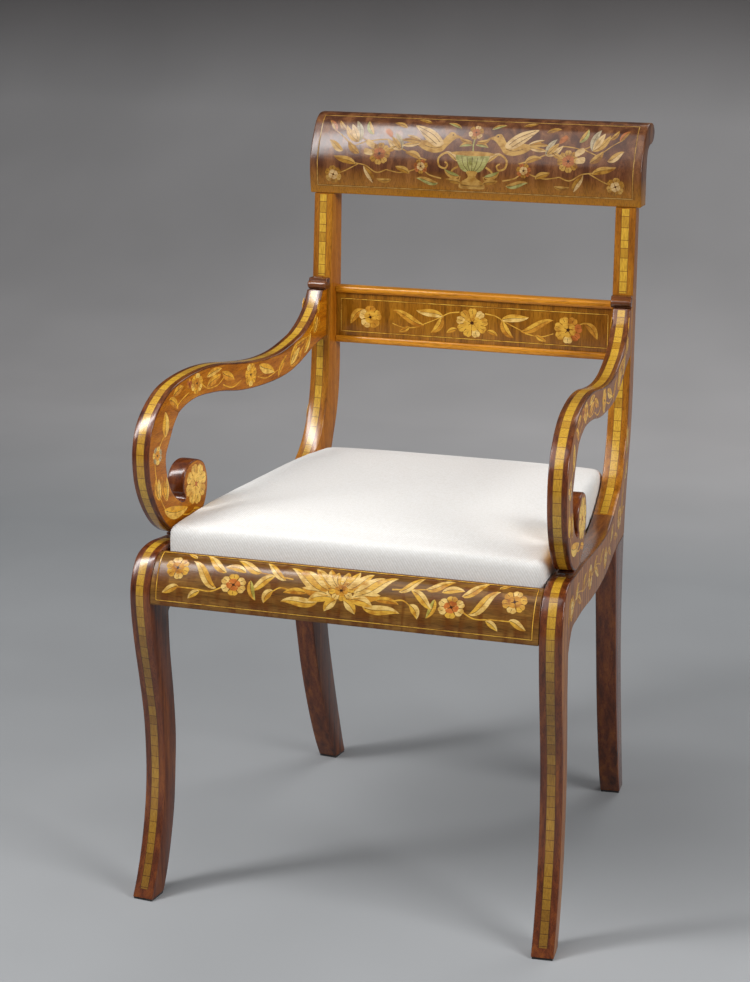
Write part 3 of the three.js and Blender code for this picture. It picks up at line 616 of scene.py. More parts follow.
@dataclass(frozen=True)
class BandedInlay:
    """Golden satinwood laid as a band, with dark walnut lines across it every few millimetres.

    Painted shade darkens it in the hollow of the leg and at the foot.
    """

    name: str
    light: str
    deep: str
    line: str
    pitch: float = 13.0
    line_width: float = 0.55
    rim_from: float = 4.4
    rim_to: float = 4.7
    dull_below: float = 430.0
    gloss: float = 1.0

    def material(self) -> Material:
        """The finish as a node material; it reads the strip's UV, which is in metres.

        Returns:
            The material.
        """
        made, tree, shader = new_material(self.name)
        along = node(tree, "SeparateXYZ", {0: (node(tree, "TexCoord"), "UV")})
        pitches = {0: (along, "X"), 1: 1000 / self.pitch}
        at = node(tree, "Math", pitches, operation="MULTIPLY")
        cuts = {"W": at, "Scale": 1.0, "Randomness": 0.55}
        edge = node(tree, "TexVoronoi", cuts, voronoi_dimensions="1D", feature="DISTANCE_TO_EDGE")
        cell = node(tree, "TexVoronoi", cuts, voronoi_dimensions="1D")
        tone = node(tree, "SeparateColor", {"Color": (cell, "Color")})
        tones = [(0.0, self.deep), (0.55, self.light), (1.0, self.light)]
        body = node(tree, "ValToRGB", {"Fac": (tone, "Red")}, tones)
        half = self.line_width / self.pitch / 2
        cut = [(half, "#ffffff"), (half * 1.6, "#000000")]
        mask = node(tree, "ValToRGB", {"Fac": (edge, "Distance")}, cut)
        across = node(tree, "Math", {0: (along, "Y")}, operation="ABSOLUTE")
        ends = {"From Min": self.rim_from * MM, "From Max": self.rim_to * MM}
        rim = node(tree, "MapRange", {"Value": across, **ends})
        for dark in (mask, rim):
            body = node(tree, "Mix", {0: dark, 6: body, 7: linear(self.line)}, **MIX)
        wax = node(tree, "TexNoise", {**sized(tree, 1.2, 1.2, 9.0), "Detail": 4.0})
        shade = node(tree, "ValToRGB", {"Fac": wax}, [(0.3, "#b0a090"), (0.6, "#ffffff")])
        streaked = node(tree, "Mix", {0: 0.6, 6: body, 7: shade}, **MULTIPLY)
        # Painted shade: darker below the seat's height, most at the foot and in the hollow of the
        # leg.
        place = node(tree, "SeparateXYZ", {0: (node(tree, "TexCoord"), "Object")})
        rise = node(tree, "MapRange", {"Value": (place, "Z"), "From Max": self.dull_below * MM})
        stops = [(0.0, "#988a7e"), (0.3, "#dcd4cc"), (0.65, "#a89c90"), (1.0, "#ffffff")]
        painted_shade = node(tree, "ValToRGB", {"Fac": rise}, stops)
        colour = node(tree, "Mix", {0: 1.0, 6: streaked, 7: painted_shade}, **MULTIPLY)
        feed(shader, {"Base Color": colour, "Roughness": 0.4, "Coat Weight": self.gloss, **POLISH})
        return made


@dataclass(frozen=True)
class InlaidWood:
    """Thin veneer let into the ground, polished with it: some pieces are dyed or scorched in sand.

    Scorching darkens one side of a leaf softly, so each wood has a second, browner tone.
    """

    name: str
    light: str
    scorched: str
    figure_size: float = 9.0
    gloss: float = 0.35

    def material(self) -> Material:
        """The finish as a node material.

        Returns:
            The material.
        """
        made, tree, shader = new_material(self.name)
        cloud = node(tree, "TexNoise", {**sized(tree, self.figure_size), "Detail": 3.0})
        tone = node(tree, "ValToRGB", {"Fac": cloud}, [(0.36, self.scorched), (0.56, self.light)])
        fibre = node(tree, "TexNoise", {**sized(tree, 7.0, 7.0, 0.8), "Detail": 2.0})
        shade = node(tree, "ValToRGB", {"Fac": fibre}, [(0.3, "#c0b0a0"), (0.55, "#ffffff")])
        colour = node(tree, "Mix", {0: 0.5, 6: tone, 7: shade}, **MULTIPLY)
        feed(shader, {"Base Color": colour, "Roughness": 0.4, "Coat Weight": self.gloss, **POLISH})
        return made


@dataclass(frozen=True)
class PlainWood:
    """Sawn and planed beech, left bare inside the seat and under the rails: dull, with flecks."""

    name: str
    light: str
    dark: str
    grain: Grain = Grain.ACROSS

    def material(self) -> Material:
        """The finish as a node material.

        Returns:
            The material.
        """
        made, tree, shader = new_material(self.name)
        streak = node(tree, "TexNoise", {**sized(tree, *self.grain.finer(0.5)), "Detail": 4.0})
        colour = node(tree, "ValToRGB", {"Fac": streak}, [(0.35, self.dark), (0.65, self.light)])
        relief = node(tree, "Bump", {"Height": streak, "Strength": 0.2, "Distance": 0.0005})
        feed(shader, {"Base Color": colour, "Roughness": 0.62, "Normal": relief})
        return made


class Thread(Enum):
    """How the threads of a cloth lie: the directions that its ribs follow one another in."""

    TWILL = ((1.0, 1.0, 0.6),)
    PLAIN = ((1.0, 0.0, 0.0), (0.0, 1.0, 0.0))


@dataclass(frozen=True)
class WovenCloth:
    """Cloth with a weave that shows: diagonal ribs in twill, crossed threads in plain cloth.

    The pitch is the real distance from rib to rib; where that is too fine for the picture, it is
    drawn about twice as coarse, so that the ribs still show.
    """

    name: str
    light: str
    shade: str
    pitch: float
    thread: Thread
    bump: float = 0.5
    sheen: float = 0.2

    def material(self) -> Material:
        """The finish as a node material.

        Returns:
            The material.
        """
        made, tree, shader = new_material(self.name)
        at = sized(tree, self.pitch)["Vector"]
        height: Node | None = None
        for direction in self.thread.value:
            unit = tuple(2 * math.pi * part for part in Vector(direction).normalized())
            phase = node(tree, "VectorMath", {0: at, 1: unit}, operation="DOT_PRODUCT")
            rib = node(tree, "Math", {0: phase}, operation="SINE")
            height = node(tree, "Math", {0: height, 1: rib}, operation="MAXIMUM") if height else rib
        soil = node(tree, "TexNoise", {**sized(tree, 3.0), "Detail": 4.0})
        mottle = node(tree, "ValToRGB", {"Fac": soil}, [(0.3, self.shade), (0.6, self.light)])
        lit = node(tree, "MapRange", {"Value": height, "From Min": -1.0, "From Max": 0.6})
        colour = node(tree, "Mix", {0: lit, 6: linear(self.shade), 7: mottle}, **MIX)
        depth = {"Strength": self.bump, "Distance": self.pitch * 0.25 * MM}
        relief = node(tree, "Bump", {"Height": height, **depth})
        feed(shader, {"Base Color": colour, "Normal": relief})
        feed(shader, {"Roughness": 0.9, "Sheen Weight": self.sheen})
        return made


@dataclass(frozen=True)
class TurnedSteel:
    """Mild steel screws, turned and a little rusted: grey metal with clouds of wear."""

    name: str
    bright: str
    dull: str

    def material(self) -> Material:
        """The finish as a node material.

        Returns:
            The material.
        """
        made, tree, shader = new_material(self.name)
        wear = node(tree, "TexNoise", {**sized(tree, 2.0), "Detail": 5.0})
        colour = node(tree, "ValToRGB", {"Fac": wear}, [(0.4, self.dull), (0.6, self.bright)])
        rough = node(tree, "MapRange", {"Value": wear, "From Min": 1.0, "From Max": -0.4})
        feed(shader, {"Base Color": colour, "Metallic": 1.0, "Roughness": rough})
        return made


@dataclass(frozen=True)
class StudioSurface:
    """Painted paper of the studio: dull, with a faint mottle, and graded from the front up to the
    top in painted light and shade, brightest behind the chair and dark high up.

    Seen from behind it is clear, so that the chair's back can be looked at from there.
    """

    name: str
    stops: tuple[tuple[float, str], ...]
    start: float = -0.5
    length: float = 6.5

    def material(self) -> Material:
        """The finish as a node material.

        Returns:
            The material.
        """
        made, tree, shader = new_material(self.name)
        cloud = node(tree, "TexNoise", {**sized(tree, 400.0), "Detail": 2.0})
        mottle = node(tree, "ValToRGB", {"Fac": cloud}, [(0.3, "#f4f4f4"), (0.7, "#ffffff")])
        place = node(tree, "SeparateXYZ", {0: (node(tree, "TexCoord"), "Object")})
        way = node(tree, "Math", {0: (place, "Y"), 1: (place, "Z")}, operation="ADD")
        ends = {"From Min": self.start, "From Max": self.start + self.length}
        share = node(tree, "MapRange", {"Value": way, **ends})
        # Painted light and shade: the tone by Y plus Z, brightest behind the chair and dark high
        # up.
        stops = [((at - self.start) / self.length, tone) for at, tone in self.stops]
        painted_light_graded = node(tree, "ValToRGB", {"Fac": share}, stops)
        colour = node(tree, "Mix", {0: 1.0, 6: painted_light_graded, 7: mottle}, **MULTIPLY)
        feed(shader, {"Base Color": colour, "Roughness": 0.9})
        back, path = node(tree, "NewGeometry"), node(tree, "LightPath")
        seen = {0: (back, "Backfacing"), 1: (path, "Is Camera Ray")}
        behind = node(tree, "Math", seen, operation="MULTIPLY")
        both = node(tree, "MixShader", {0: behind, 1: shader, 2: node(tree, "BsdfTransparent")})
        feed(next(n for n in tree.nodes if n.type == "OUTPUT_MATERIAL"), {"Surface": both})
        return made


def polished(name: str, tones: str, grain: Grain, **settings: float | str) -> Material:
    """A wood under French polish, from its dark, middle and light tones."""
    return PolishedWood(name, *tones.split(), grain, **settings).material()


class Finishes:
    """Every finish on the chair, made once."""

    def __init__(self) -> None:
        """Makes the materials."""
        upright, backward, across = Grain
        name = "mahogany_french_polished"
        self.mahogany = polished(name, "#421c0a #6a3212 #8c4c18", upright, gloss=0.8)
        self.mahogany_back = polished(
            name + "_lengthwise", "#442210 #6c3a16 #8c5220", backward, gloss=0.8
        )
        self.mahogany_across = polished(
            name + "_rail", "#44220e #6c3a16 #8c501e", across, gloss=0.8
        )
        self.golden_edge = polished(
            "stile_veneer_golden_mahogany", "#7e480a #a26210 #ba7c1c", upright, gloss=0.8
        )
        # Painted light: the stile's inner face is painted a lighter orange than its outer face.
        self.stile_face = polished("stile_face_orange_mahogany", "#95540e #b56c16 #c88428", upright)
        # Painted light: the arm's inner face is painted a lighter gold than its outer face.
        self.arm_veneer = polished(
            "arm_veneer_golden_mahogany", "#965208 #b66a0e #ce861a", backward, gloss=0.3
        )
        self.side_veneer = polished(
            "side_veneer_cross_banded_mahogany", "#744018 #985c28 #b47838", upright, contrast=0.9
        )
        self.crest_veneer = polished(
            "crest_veneer_figured_mahogany",
            "#4e2816 #6e4224 #885a34",
            upright,
            gloss=0.55,
            bands="#4e2a16",
            # Painted light: the crest's lower edge is painted paler and golden, fading out by 806
            # mm.
            sap="#a0680e",
            sap_from=774.0,
            sap_to=806.0,
        )
        self.mid_veneer = polished("mid_rail_veneer_mahogany", "#74460c #925c12 #a8701c", upright)
        self.rail_veneer = polished(
            "front_rail_veneer_mahogany", "#5e3e1a #7c5422 #966828", across, bands="#6c3e12"
        )
        self.moulding_wood = polished(
            "rail_moulding_stained_maple", "#a0600e #c8821e #dc9630", across
        )
        self.band = BandedInlay("satinwood_band", "#d6a634", "#b88624", "#7a4c1c").material()
        self.inlays = self.inlay_set(
            ("boxwood_cream", "#e8c476", "#c89a48"),
            ("satinwood_gold", "#dcaa40", "#b87e28"),
            ("padauk_orange", "#cc9030", "#a2641c"),
            ("dyed_maple_red", "#c87434", "#a0541e"),
            ("dyed_maple_green", "#c2b058", "#948434"),
            ("holly_grey", "#ccb688", "#a48e60"),
            ("ebonised_line", "#4a2812", "#38200e"),
        )
        self.aged_inlays = self.inlay_set(
            ("boxwood_browned", "#c6a674", "#a88450"),
            ("satinwood_browned", "#b48c48", "#946a2c"),
            ("padauk_browned", "#a0742e", "#7c501c"),
            ("dyed_maple_red_browned", "#a46234", "#82481e"),
            ("dyed_maple_green_browned", "#a09a60", "#7c763c"),
            ("holly_browned", "#aa9a7c", "#8a7a5c"),
        ) + [self.inlays[-1]]
        # Painted light: lighter, more golden copies of the cream, gold and orange woods, laid on
        # the arms.
        self.fresh_inlays = self.inlay_set(
            ("boxwood_fresh", "#ffd264", "#dca444"),
            ("satinwood_fresh", "#f6b836", "#cc8c22"),
            ("padauk_fresh", "#e49c2c", "#b47018"),
        ) + self.inlays[3:]
        self.beech = PlainWood("beech_bare", "#c29a68", "#9a7448").material()
        self.steel = TurnedSteel("steel_screw", "#a8a8a4", "#6e665e").material()
        plain = Thread.PLAIN
        felt = WovenCloth("felt_foot_pad", "#2a2624", "#141211", 1.5, plain, sheen=0.3)
        self.pad = felt.material()
        self.twill = WovenCloth(
            "white_cotton_twill", "#f3f2f0", "#e4e2dd", 2.2, Thread.TWILL, 0.16
        ).material()
        self.calico = WovenCloth("black_dust_calico", "#2e2a28", "#181615", 1.6, plain).material()
        self.hessian = WovenCloth("jute_hessian", "#b09468", "#6e5838", 2.4, plain, 0.9).material()
        self.webbing = WovenCloth("jute_webbing", "#c0a478", "#7a6240", 3.2, plain, 0.9).material()

    def inlay_set(self, *woods: tuple[str, str, str]) -> list[Material]:
        """A finish for each inlaid wood, in the order of Veneer."""
        return [InlaidWood(*wood).material() for wood in woods]


# ---- the chair's sizes, in millimetres


@dataclass(frozen=True)
class Sizes:
    """Sizes that several sub-assemblies share, the same as in the part's source."""

    half_width: float = 255.2
    side_depth: float = 542.0
    seat_height: float = 420.0
    back_rise: float = 450.0
    arm_rise: float = 229.0
    toe_in: float = math.radians(5.09)
    board: float = 25.5
    arm_board: float = 22.0
    front_y: float = -283.92
    fit: float = 0.3
    band_width: float = 10.4
    seat_sink: float = 22.0
    rail_drop: float = 58.0
    pad: float = 3.0

    def low(self, shares: Run) -> list[Flat]:
        """Side outline points from shares of the depth and of the seat height."""
        return [(s * self.side_depth, max(z * self.seat_height, self.pad)) for s, z in shares]

    def high(self, shares: Run, rise: float) -> list[Flat]:
        """Side outline points from shares of the depth and of a rise above the seat height."""
        return [(s * self.side_depth, self.seat_height + z * rise) for s, z in shares]

    def inner_y(self, along: float) -> float:
        """The chair's Y of a place on the inner face of a side board."""
        return self.front_y + along * math.cos(self.toe_in) - self.board * math.sin(self.toe_in)

    def inner_x(self, y: float) -> float:
        """The X of the right side board's inner face.

        Args:
            y: The depth where it is asked for.

        Returns:
            The distance from the chair's middle.
        """
        set_back = y - self.front_y + self.board * math.sin(self.toe_in)
        front = self.half_width - self.board * math.cos(self.toe_in)
        return front - set_back * math.tan(self.toe_in)

    def side_place(self, hand: Hand) -> Place:
        """The mapping from a place in one side's boards to a place in the chair.

        Args:
            hand: The side.

        Returns:
            Turns (along, height, depth from the outer face) into metres.
        """
        angle = hand.value * self.toe_in

        def place(along: float, up: float, depth: float) -> Vector:
            """A place in the chair.

            Args:
                along: The distance along the board.
                up: The height.
                depth: The depth from the outer face.

            Returns:
                The place, in metres.
            """
            inward = -hand.value * depth
            x = hand.value * self.half_width + inward * math.cos(angle) - along * math.sin(angle)
            y = self.front_y + inward * math.sin(angle) + along * math.cos(angle)
            return Vector((x, y, up)) * MM

        return place


SIZES = Sizes()


def points(text: str) -> list[Flat]:
    """Points from their text, such as "0,0 .02,.062"."""
    return [tuple(map(float, word.split(","))) for word in text.split()]


# The chair's side view: depth over the side's depth, and height over the seat's height, or height
# over the seat as a share of the back's rise (stile, crest) or of the arm's rise (arm, scroll).

LEG_FRONT = points("""
    0,0 .02,.062 .041,.138 .059,.233 .069,.333 .069,.433 .063,.529 .046,.645 .031,.738
    .02,.833 .019,.895 .028,.937 .046,.977 .07,.996 .109,1.005 .154,1.002
""")
LEG_BACK = points("""
    .102,.814 .106,.7 .118,.571 .124,.452 .12,.35 .111,.238 .093,.138 .075,.064 .056,0
""")
RAIL_TOP = points(".154,1.002 .295,.99 .415,.975 .535,.962 .628,.96 .709,.981")
RAIL_UNDER = points("""
    .102,.814 .143,.862 .204,.864 .283,.86 .396,.846 .508,.838 .6,.839 .689,.85
""")
KNEE_UNDER = points(".689,.85 .759,.861 .889,.862")
REAR_LEG_FRONT = points("""
    .759,.861 .771,.774 .785,.681 .811,.524 .841,.357 .876,.214 .915,.088 .948,0
""")
REAR_LEG_BACK = points("""
    .889,.862 .885,.762 .886,.619 .904,.452 .928,.321 .958,.181 .987,.057 1,0
""")
STILE_LOWER_FRONT = points("""
    .709,-.018 .772,.007 .811,.027 .847,.067 .876,.124 .897,.2 .908,.298
""")
STILE_UPPER_FRONT = points(".924,.633 .932,.778")
STILE_BACK = points("""
    .986,.778 .982,.6 .977,.4 .972,.244 .9575,.147 .934,.067 .911,-.011 .897,-.078
""")
CREST = points("""
    .934,.78 .928,.829 .928,.871 .935,.902 .945,.929 .958,.956 .974,.982 .995,.997 1.017,1
    1.039,.997 1.053,.982 1.056,.967 1.047,.95 1.03,.942 1.01,.939 .993,.924 .985,.893
    .983,.844 .982,.78
""")
MID_RAIL = (0.349, 0.513)
FRONT_LIP = (0.07, 0.087)
ARM_SEAT = points(".912,.739 .918,1.002")
ARM_TOP = points("""
    .102,.729 .139,.775 .185,.8035 .25,.82 .315,.821 .382,.807 .461,.777 .546,.751 .621,.742
    .687,.751 .761,.784 .793,.807 .834,.858 .867,.926 .888,1
""")
ARM_UNDER = points("""
    .878,.722 .845,.705 .793,.664 .761,.64 .706,.613 .634,.603 .545,.609 .459,.628 .378,.662
    .313,.68 .257,.686 .211,.672 .176,.646
""")
SCROLL_OUTER = points("""
    .102,.729 .072,.669 .052,.6 .041,.515 .04,.432 .046,.341 .061,.253 .085,.166 .115,.092
    .152,.039 .191,.017 .232,.031 .262,.064 .285,.12 .297,.19 .298,.26 .286,.328 .264,.36
    .24,.369 .216,.358 .197,.323 .189,.271 .191,.227
""")
SCROLL_INNER = points("""
    .191,.227 .198,.195 .187,.181 .167,.203 .147,.24 .131,.29 .121,.345 .1155,.415 .118,.465
    .133,.521 .152,.59 .176,.646
""")


# ---- side frames


@dataclass
class SideFrame:
    """One side of the chair: front leg, side rail, stile, rear leg and arm, with their bands."""

    hand: Hand
    finishes: Finishes
    sizes: Sizes = SIZES
    edge: Edge = Edge(round=1.4, crown=0.4, steps=4, spans=6)
    banded_spans: int = 9
    foot_clear: float = 12.0
    band_gap: float = 1.5
    collar_height: float = 14.0
    collar_neck: float = 11.5
    spacer_share: float = 0.19
    spacer_half: float = 8.0
    spacer_width: float = 18.0
    same_point: float = 0.02

    def __post_init__(self) -> None:
        """Works out the runs that neighbouring boards share."""
        sizes = self.sizes
        self.place = sizes.side_place(self.hand)
        self.leg_front, self.leg_back = self.low(LEG_FRONT), self.low(LEG_BACK)
        self.rail_top, self.rail_under = self.low(RAIL_TOP, 8), self.low(RAIL_UNDER)
        self.knee_under = self.low(KNEE_UNDER)
        self.rear_front, self.rear_back = self.low(REAR_LEG_FRONT), self.low(REAR_LEG_BACK)
        seat_low, seat_high = self.arm_seat = sizes.high(ARM_SEAT, sizes.arm_rise)
        self.stile_low = spline([*sizes.high(STILE_LOWER_FRONT, sizes.back_rise), seat_low])
        self.stile_high = spline([seat_high, *sizes.high(STILE_UPPER_FRONT, sizes.back_rise)])
        self.stile_back = spline(sizes.high(STILE_BACK, sizes.back_rise))
        self.arm_top, self.arm_under = self.arm(ARM_TOP), self.arm(ARM_UNDER)
        self.scroll_outer, self.scroll_inner = self.arm(SCROLL_OUTER), self.arm(SCROLL_INNER)

    def low(self, shares: Run, steps: int = 6) -> list[Flat]:
        """A smooth run below the seat's height."""
        return spline(self.sizes.low(shares), steps)

    def arm(self, shares: Run) -> list[Flat]:
        """A smooth run along the arm."""
        return spline(self.sizes.high(shares, self.sizes.arm_rise))

    def build(self) -> None:
        """Builds every piece of the side."""
        self.build_leg()
        self.build_rail()
        self.build_stile()
        self.build_rear_leg()
        self.build_arm()
        self.build_collar()
        self.build_spacer()

    def name(self, words: str) -> str:
        """A piece's name on this side."""
        return f"{words}_{self.hand.word}"

    def board(
        self,
        words: str,
        parts: Sequence[tuple[Run, float]],
        finishes: Sequence[Material],
        thickness: float = SIZES.board,
        slot: str = "mahogany",
        crown: float | None = None,
        inset: float = 0.0,
    ) -> Piece:
        """Builds one board of the side frame in place of its node.

        Args:
            words: The node's name, without the side.
            parts: Runs that make the closed outline, each with its share of the crown.
            finishes: Materials of the edge, of the outer face and of the inner face.
            thickness: The board's thickness.
            slot: The record's material slot.
            crown: The crown, where it isn't the usual one.
            inset: How far the board stands in from the outer face.

        Returns:
            The board.
        """
        sign = -1 if signed_area([point for run, _ in parts for point in run]) > 0 else 1
        rim: list[tuple[Flat, float, Flat]] = []
        for run, weight in parts:
            for point, (nu, nv) in zip(run, run_normals(run)):
                if not rim or math.dist(rim[-1][0], point) >= self.same_point:
                    rim.append((point, weight, (nu * sign, nv * sign)))
        if math.dist(rim[0][0], rim[-1][0]) < self.same_point:
            rim.pop()
        outline, weights, normals = zip(*rim)
        edge = self.edge if crown is None else Edge(self.edge.round, crown, 3, self.edge.spans)
        place: Place = lambda along, up, depth: self.place(along, up, depth + inset)
        bm = bmesh.new()
        joined = normals if len(parts) > 1 else None
        loft(bm, outline, thickness, edge, place, weights, (1, 2), joined)
        piece = to_object(bm, self.name("polished_" + words), finishes)
        return held_by(piece, FRAME_BODY, slot, self.name(words))

    def band(self, words: str, run: Run, board_thickness: float, node_name: str) -> Piece:
        """Builds one band in place of its node.

        Args:
            words: The piece's name, without the side.
            run: The line that it follows, with the wood on its left.
            board_thickness: The thickness of the board that it lies in.
            node_name: The node's name, without the side.

        Returns:
            The band.
        """
        bm, crown = bmesh.new(), self.edge.crown
        drop: Callable[[float], float] = lambda at: crown * (2 * at / board_thickness - 1) ** 2
        strip(bm, run, self.sizes.band_width, board_thickness / 2, self.place, drop)
        piece = to_object(bm, self.name(words), [self.finishes.band])
        return held_by(piece, FRAME_BODY, "satinwood_banding", self.name(node_name))

    def build_leg(self) -> None:
        """The sabre front leg and its band."""
        wood = self.finishes
        parts = [(self.leg_front, 1.0), (self.leg_back, 0.0)]
        self.board("front_leg", parts, [wood.mahogany, wood.side_veneer, wood.mahogany])
        run = [p for p in self.leg_front if p[1] > self.foot_clear][::-1]
        self.band("leg_band", run[1:], self.sizes.board, "front_leg_banding")

    def build_rail(self) -> None:
        """The side rail, which dips between the leg and the knee."""
        wood, runs = self.finishes, [[*self.rail_top], [*self.rail_under]]
        for run in runs:
            run[0] = (run[0][0] + self.sizes.fit, run[0][1])
            run[-1] = (run[-1][0] - self.sizes.fit, run[-1][1])
        parts = [(runs[0], 1.0), (runs[1][::-1], 0.0)]
        self.board("side_rail", parts, [wood.mahogany_back, wood.side_veneer, wood.mahogany_back])

    def build_stile(self) -> None:
        """The stile, which sweeps up from the knee over the rear leg, with its two bands."""
        wood, sizes = self.finishes, self.sizes
        crest_bottom = sizes.seat_height + CREST[0][1] * sizes.back_rise
        top = crest_bottom - sizes.fit
        front = [*self.stile_high[:-1], (self.stile_high[-1][0], top)]
        back = [(self.stile_back[0][0], top), *self.stile_back[1:]]
        parts = [(self.stile_low, 1.0), (front, 1.0), (back, 0.0), (self.knee_under[::-1], 0.0)]
        self.board("back_stile", parts, [wood.golden_edge, wood.side_veneer, wood.stile_face])
        lower = self.stile_low[1:-2][::-1]
        self.band("stile_band_lower", lower, sizes.board, "stile_banding_lower")
        low = self.arm_seat[1][1] + self.collar_height + 2 * sizes.fit + self.band_gap
        high = crest_bottom - self.band_gap
        first, last = ((crossing(self.stile_high, z), z) for z in (low, high))
        upper = [p for p in self.stile_high if low < p[1] < high]
        run = [first, *upper, last][::-1]
        self.band("stile_band_upper", run, sizes.board, "stile_banding_upper")

    def build_rear_leg(self) -> None:
        """The rear leg, plain and square."""
        front, back = (
            [(s, max(z - self.sizes.fit, self.sizes.pad)) for s, z in run]
            for run in (self.rear_front, self.rear_back)
        )
        parts = [(front, 0.0), (back[::-1], 0.0)]
        self.board("rear_leg", parts, [self.finishes.mahogany] * 3, crown=0.0)

    def build_arm(self) -> None:
        """The arm in its two pieces, with the band that runs round both."""
        wood, fit = self.finishes, self.sizes.fit
        seat_low, seat_high = self.arm_seat
        rest_end = [(seat_high[0] - fit, seat_high[1] - fit), (seat_low[0] - fit, seat_low[1])]
        rest = [(self.arm_top, 1.0), (rest_end, 0.0), (self.arm_under, 0.0)]
        scroll = [(self.scroll_outer, 1.0), (self.scroll_inner[1:], 0.0)]
        faces, thickness = [wood.side_veneer, wood.arm_veneer], self.sizes.arm_board
        slot = "marquetry_veneer"
        self.board("arm_rest", rest, [wood.mahogany_back, *faces], thickness, slot)
        self.board("arm_scroll", scroll, [wood.mahogany, *faces], thickness, slot)
        run = [*self.arm_top[:-1][::-1], *self.scroll_outer[1 : self.banded_spans * 8]]
        self.band("arm_band", run, thickness, "arm_banding")

    def build_collar(self) -> None:
        """The collar where the arm meets the stile: a bead under a fillet, sizes in millimetres."""
        seat_high, fit = self.arm_seat[1], self.sizes.fit
        bottom = seat_high[1] + fit
        back = min(crossing(self.stile_high, bottom), seat_high[0]) - fit
        neck, top = back - self.collar_neck, bottom + self.collar_height
        outline = [(back, bottom), (neck, bottom)]
        bulge, middle, half = 3.5, bottom + 5.6, 4.4
        for i in range(9):
            angle = math.pi * (i / 8) - math.pi / 2
            outline.append((neck - bulge * math.cos(angle), middle + half * math.sin(angle)))
        outline += [(neck, bottom + 10.6), (neck + 1.3, bottom + 10.8)]
        outline += [(neck + 1.9, top), (back, top)]
        self.board("arm_collar", [(outline, 0.0)], [self.finishes.mahogany_across] * 3, crown=0.0)

    def build_spacer(self) -> None:
        """The small pad that the scroll stands on."""
        sizes, width = self.sizes, self.spacer_width
        middle, half = self.spacer_share * sizes.side_depth, self.spacer_half
        near = [z for s, z in self.rail_top if abs(s - middle) < 2.5 * half]
        bottom = max(near) + sizes.fit
        top = min(z for _, z in self.scroll_outer) - sizes.fit
        outline = [(middle - half, bottom), (middle + half, bottom - 0.1)]
        outline += [(middle + half, top), (middle - half, top)]
        inset = (sizes.arm_board - width) / 2
        finishes = [self.finishes.mahogany] * 3
        self.board("arm_spacer", [(outline, 0.0)], finishes, width, crown=0.0, inset=inset)


# ---- rails that cross the chair


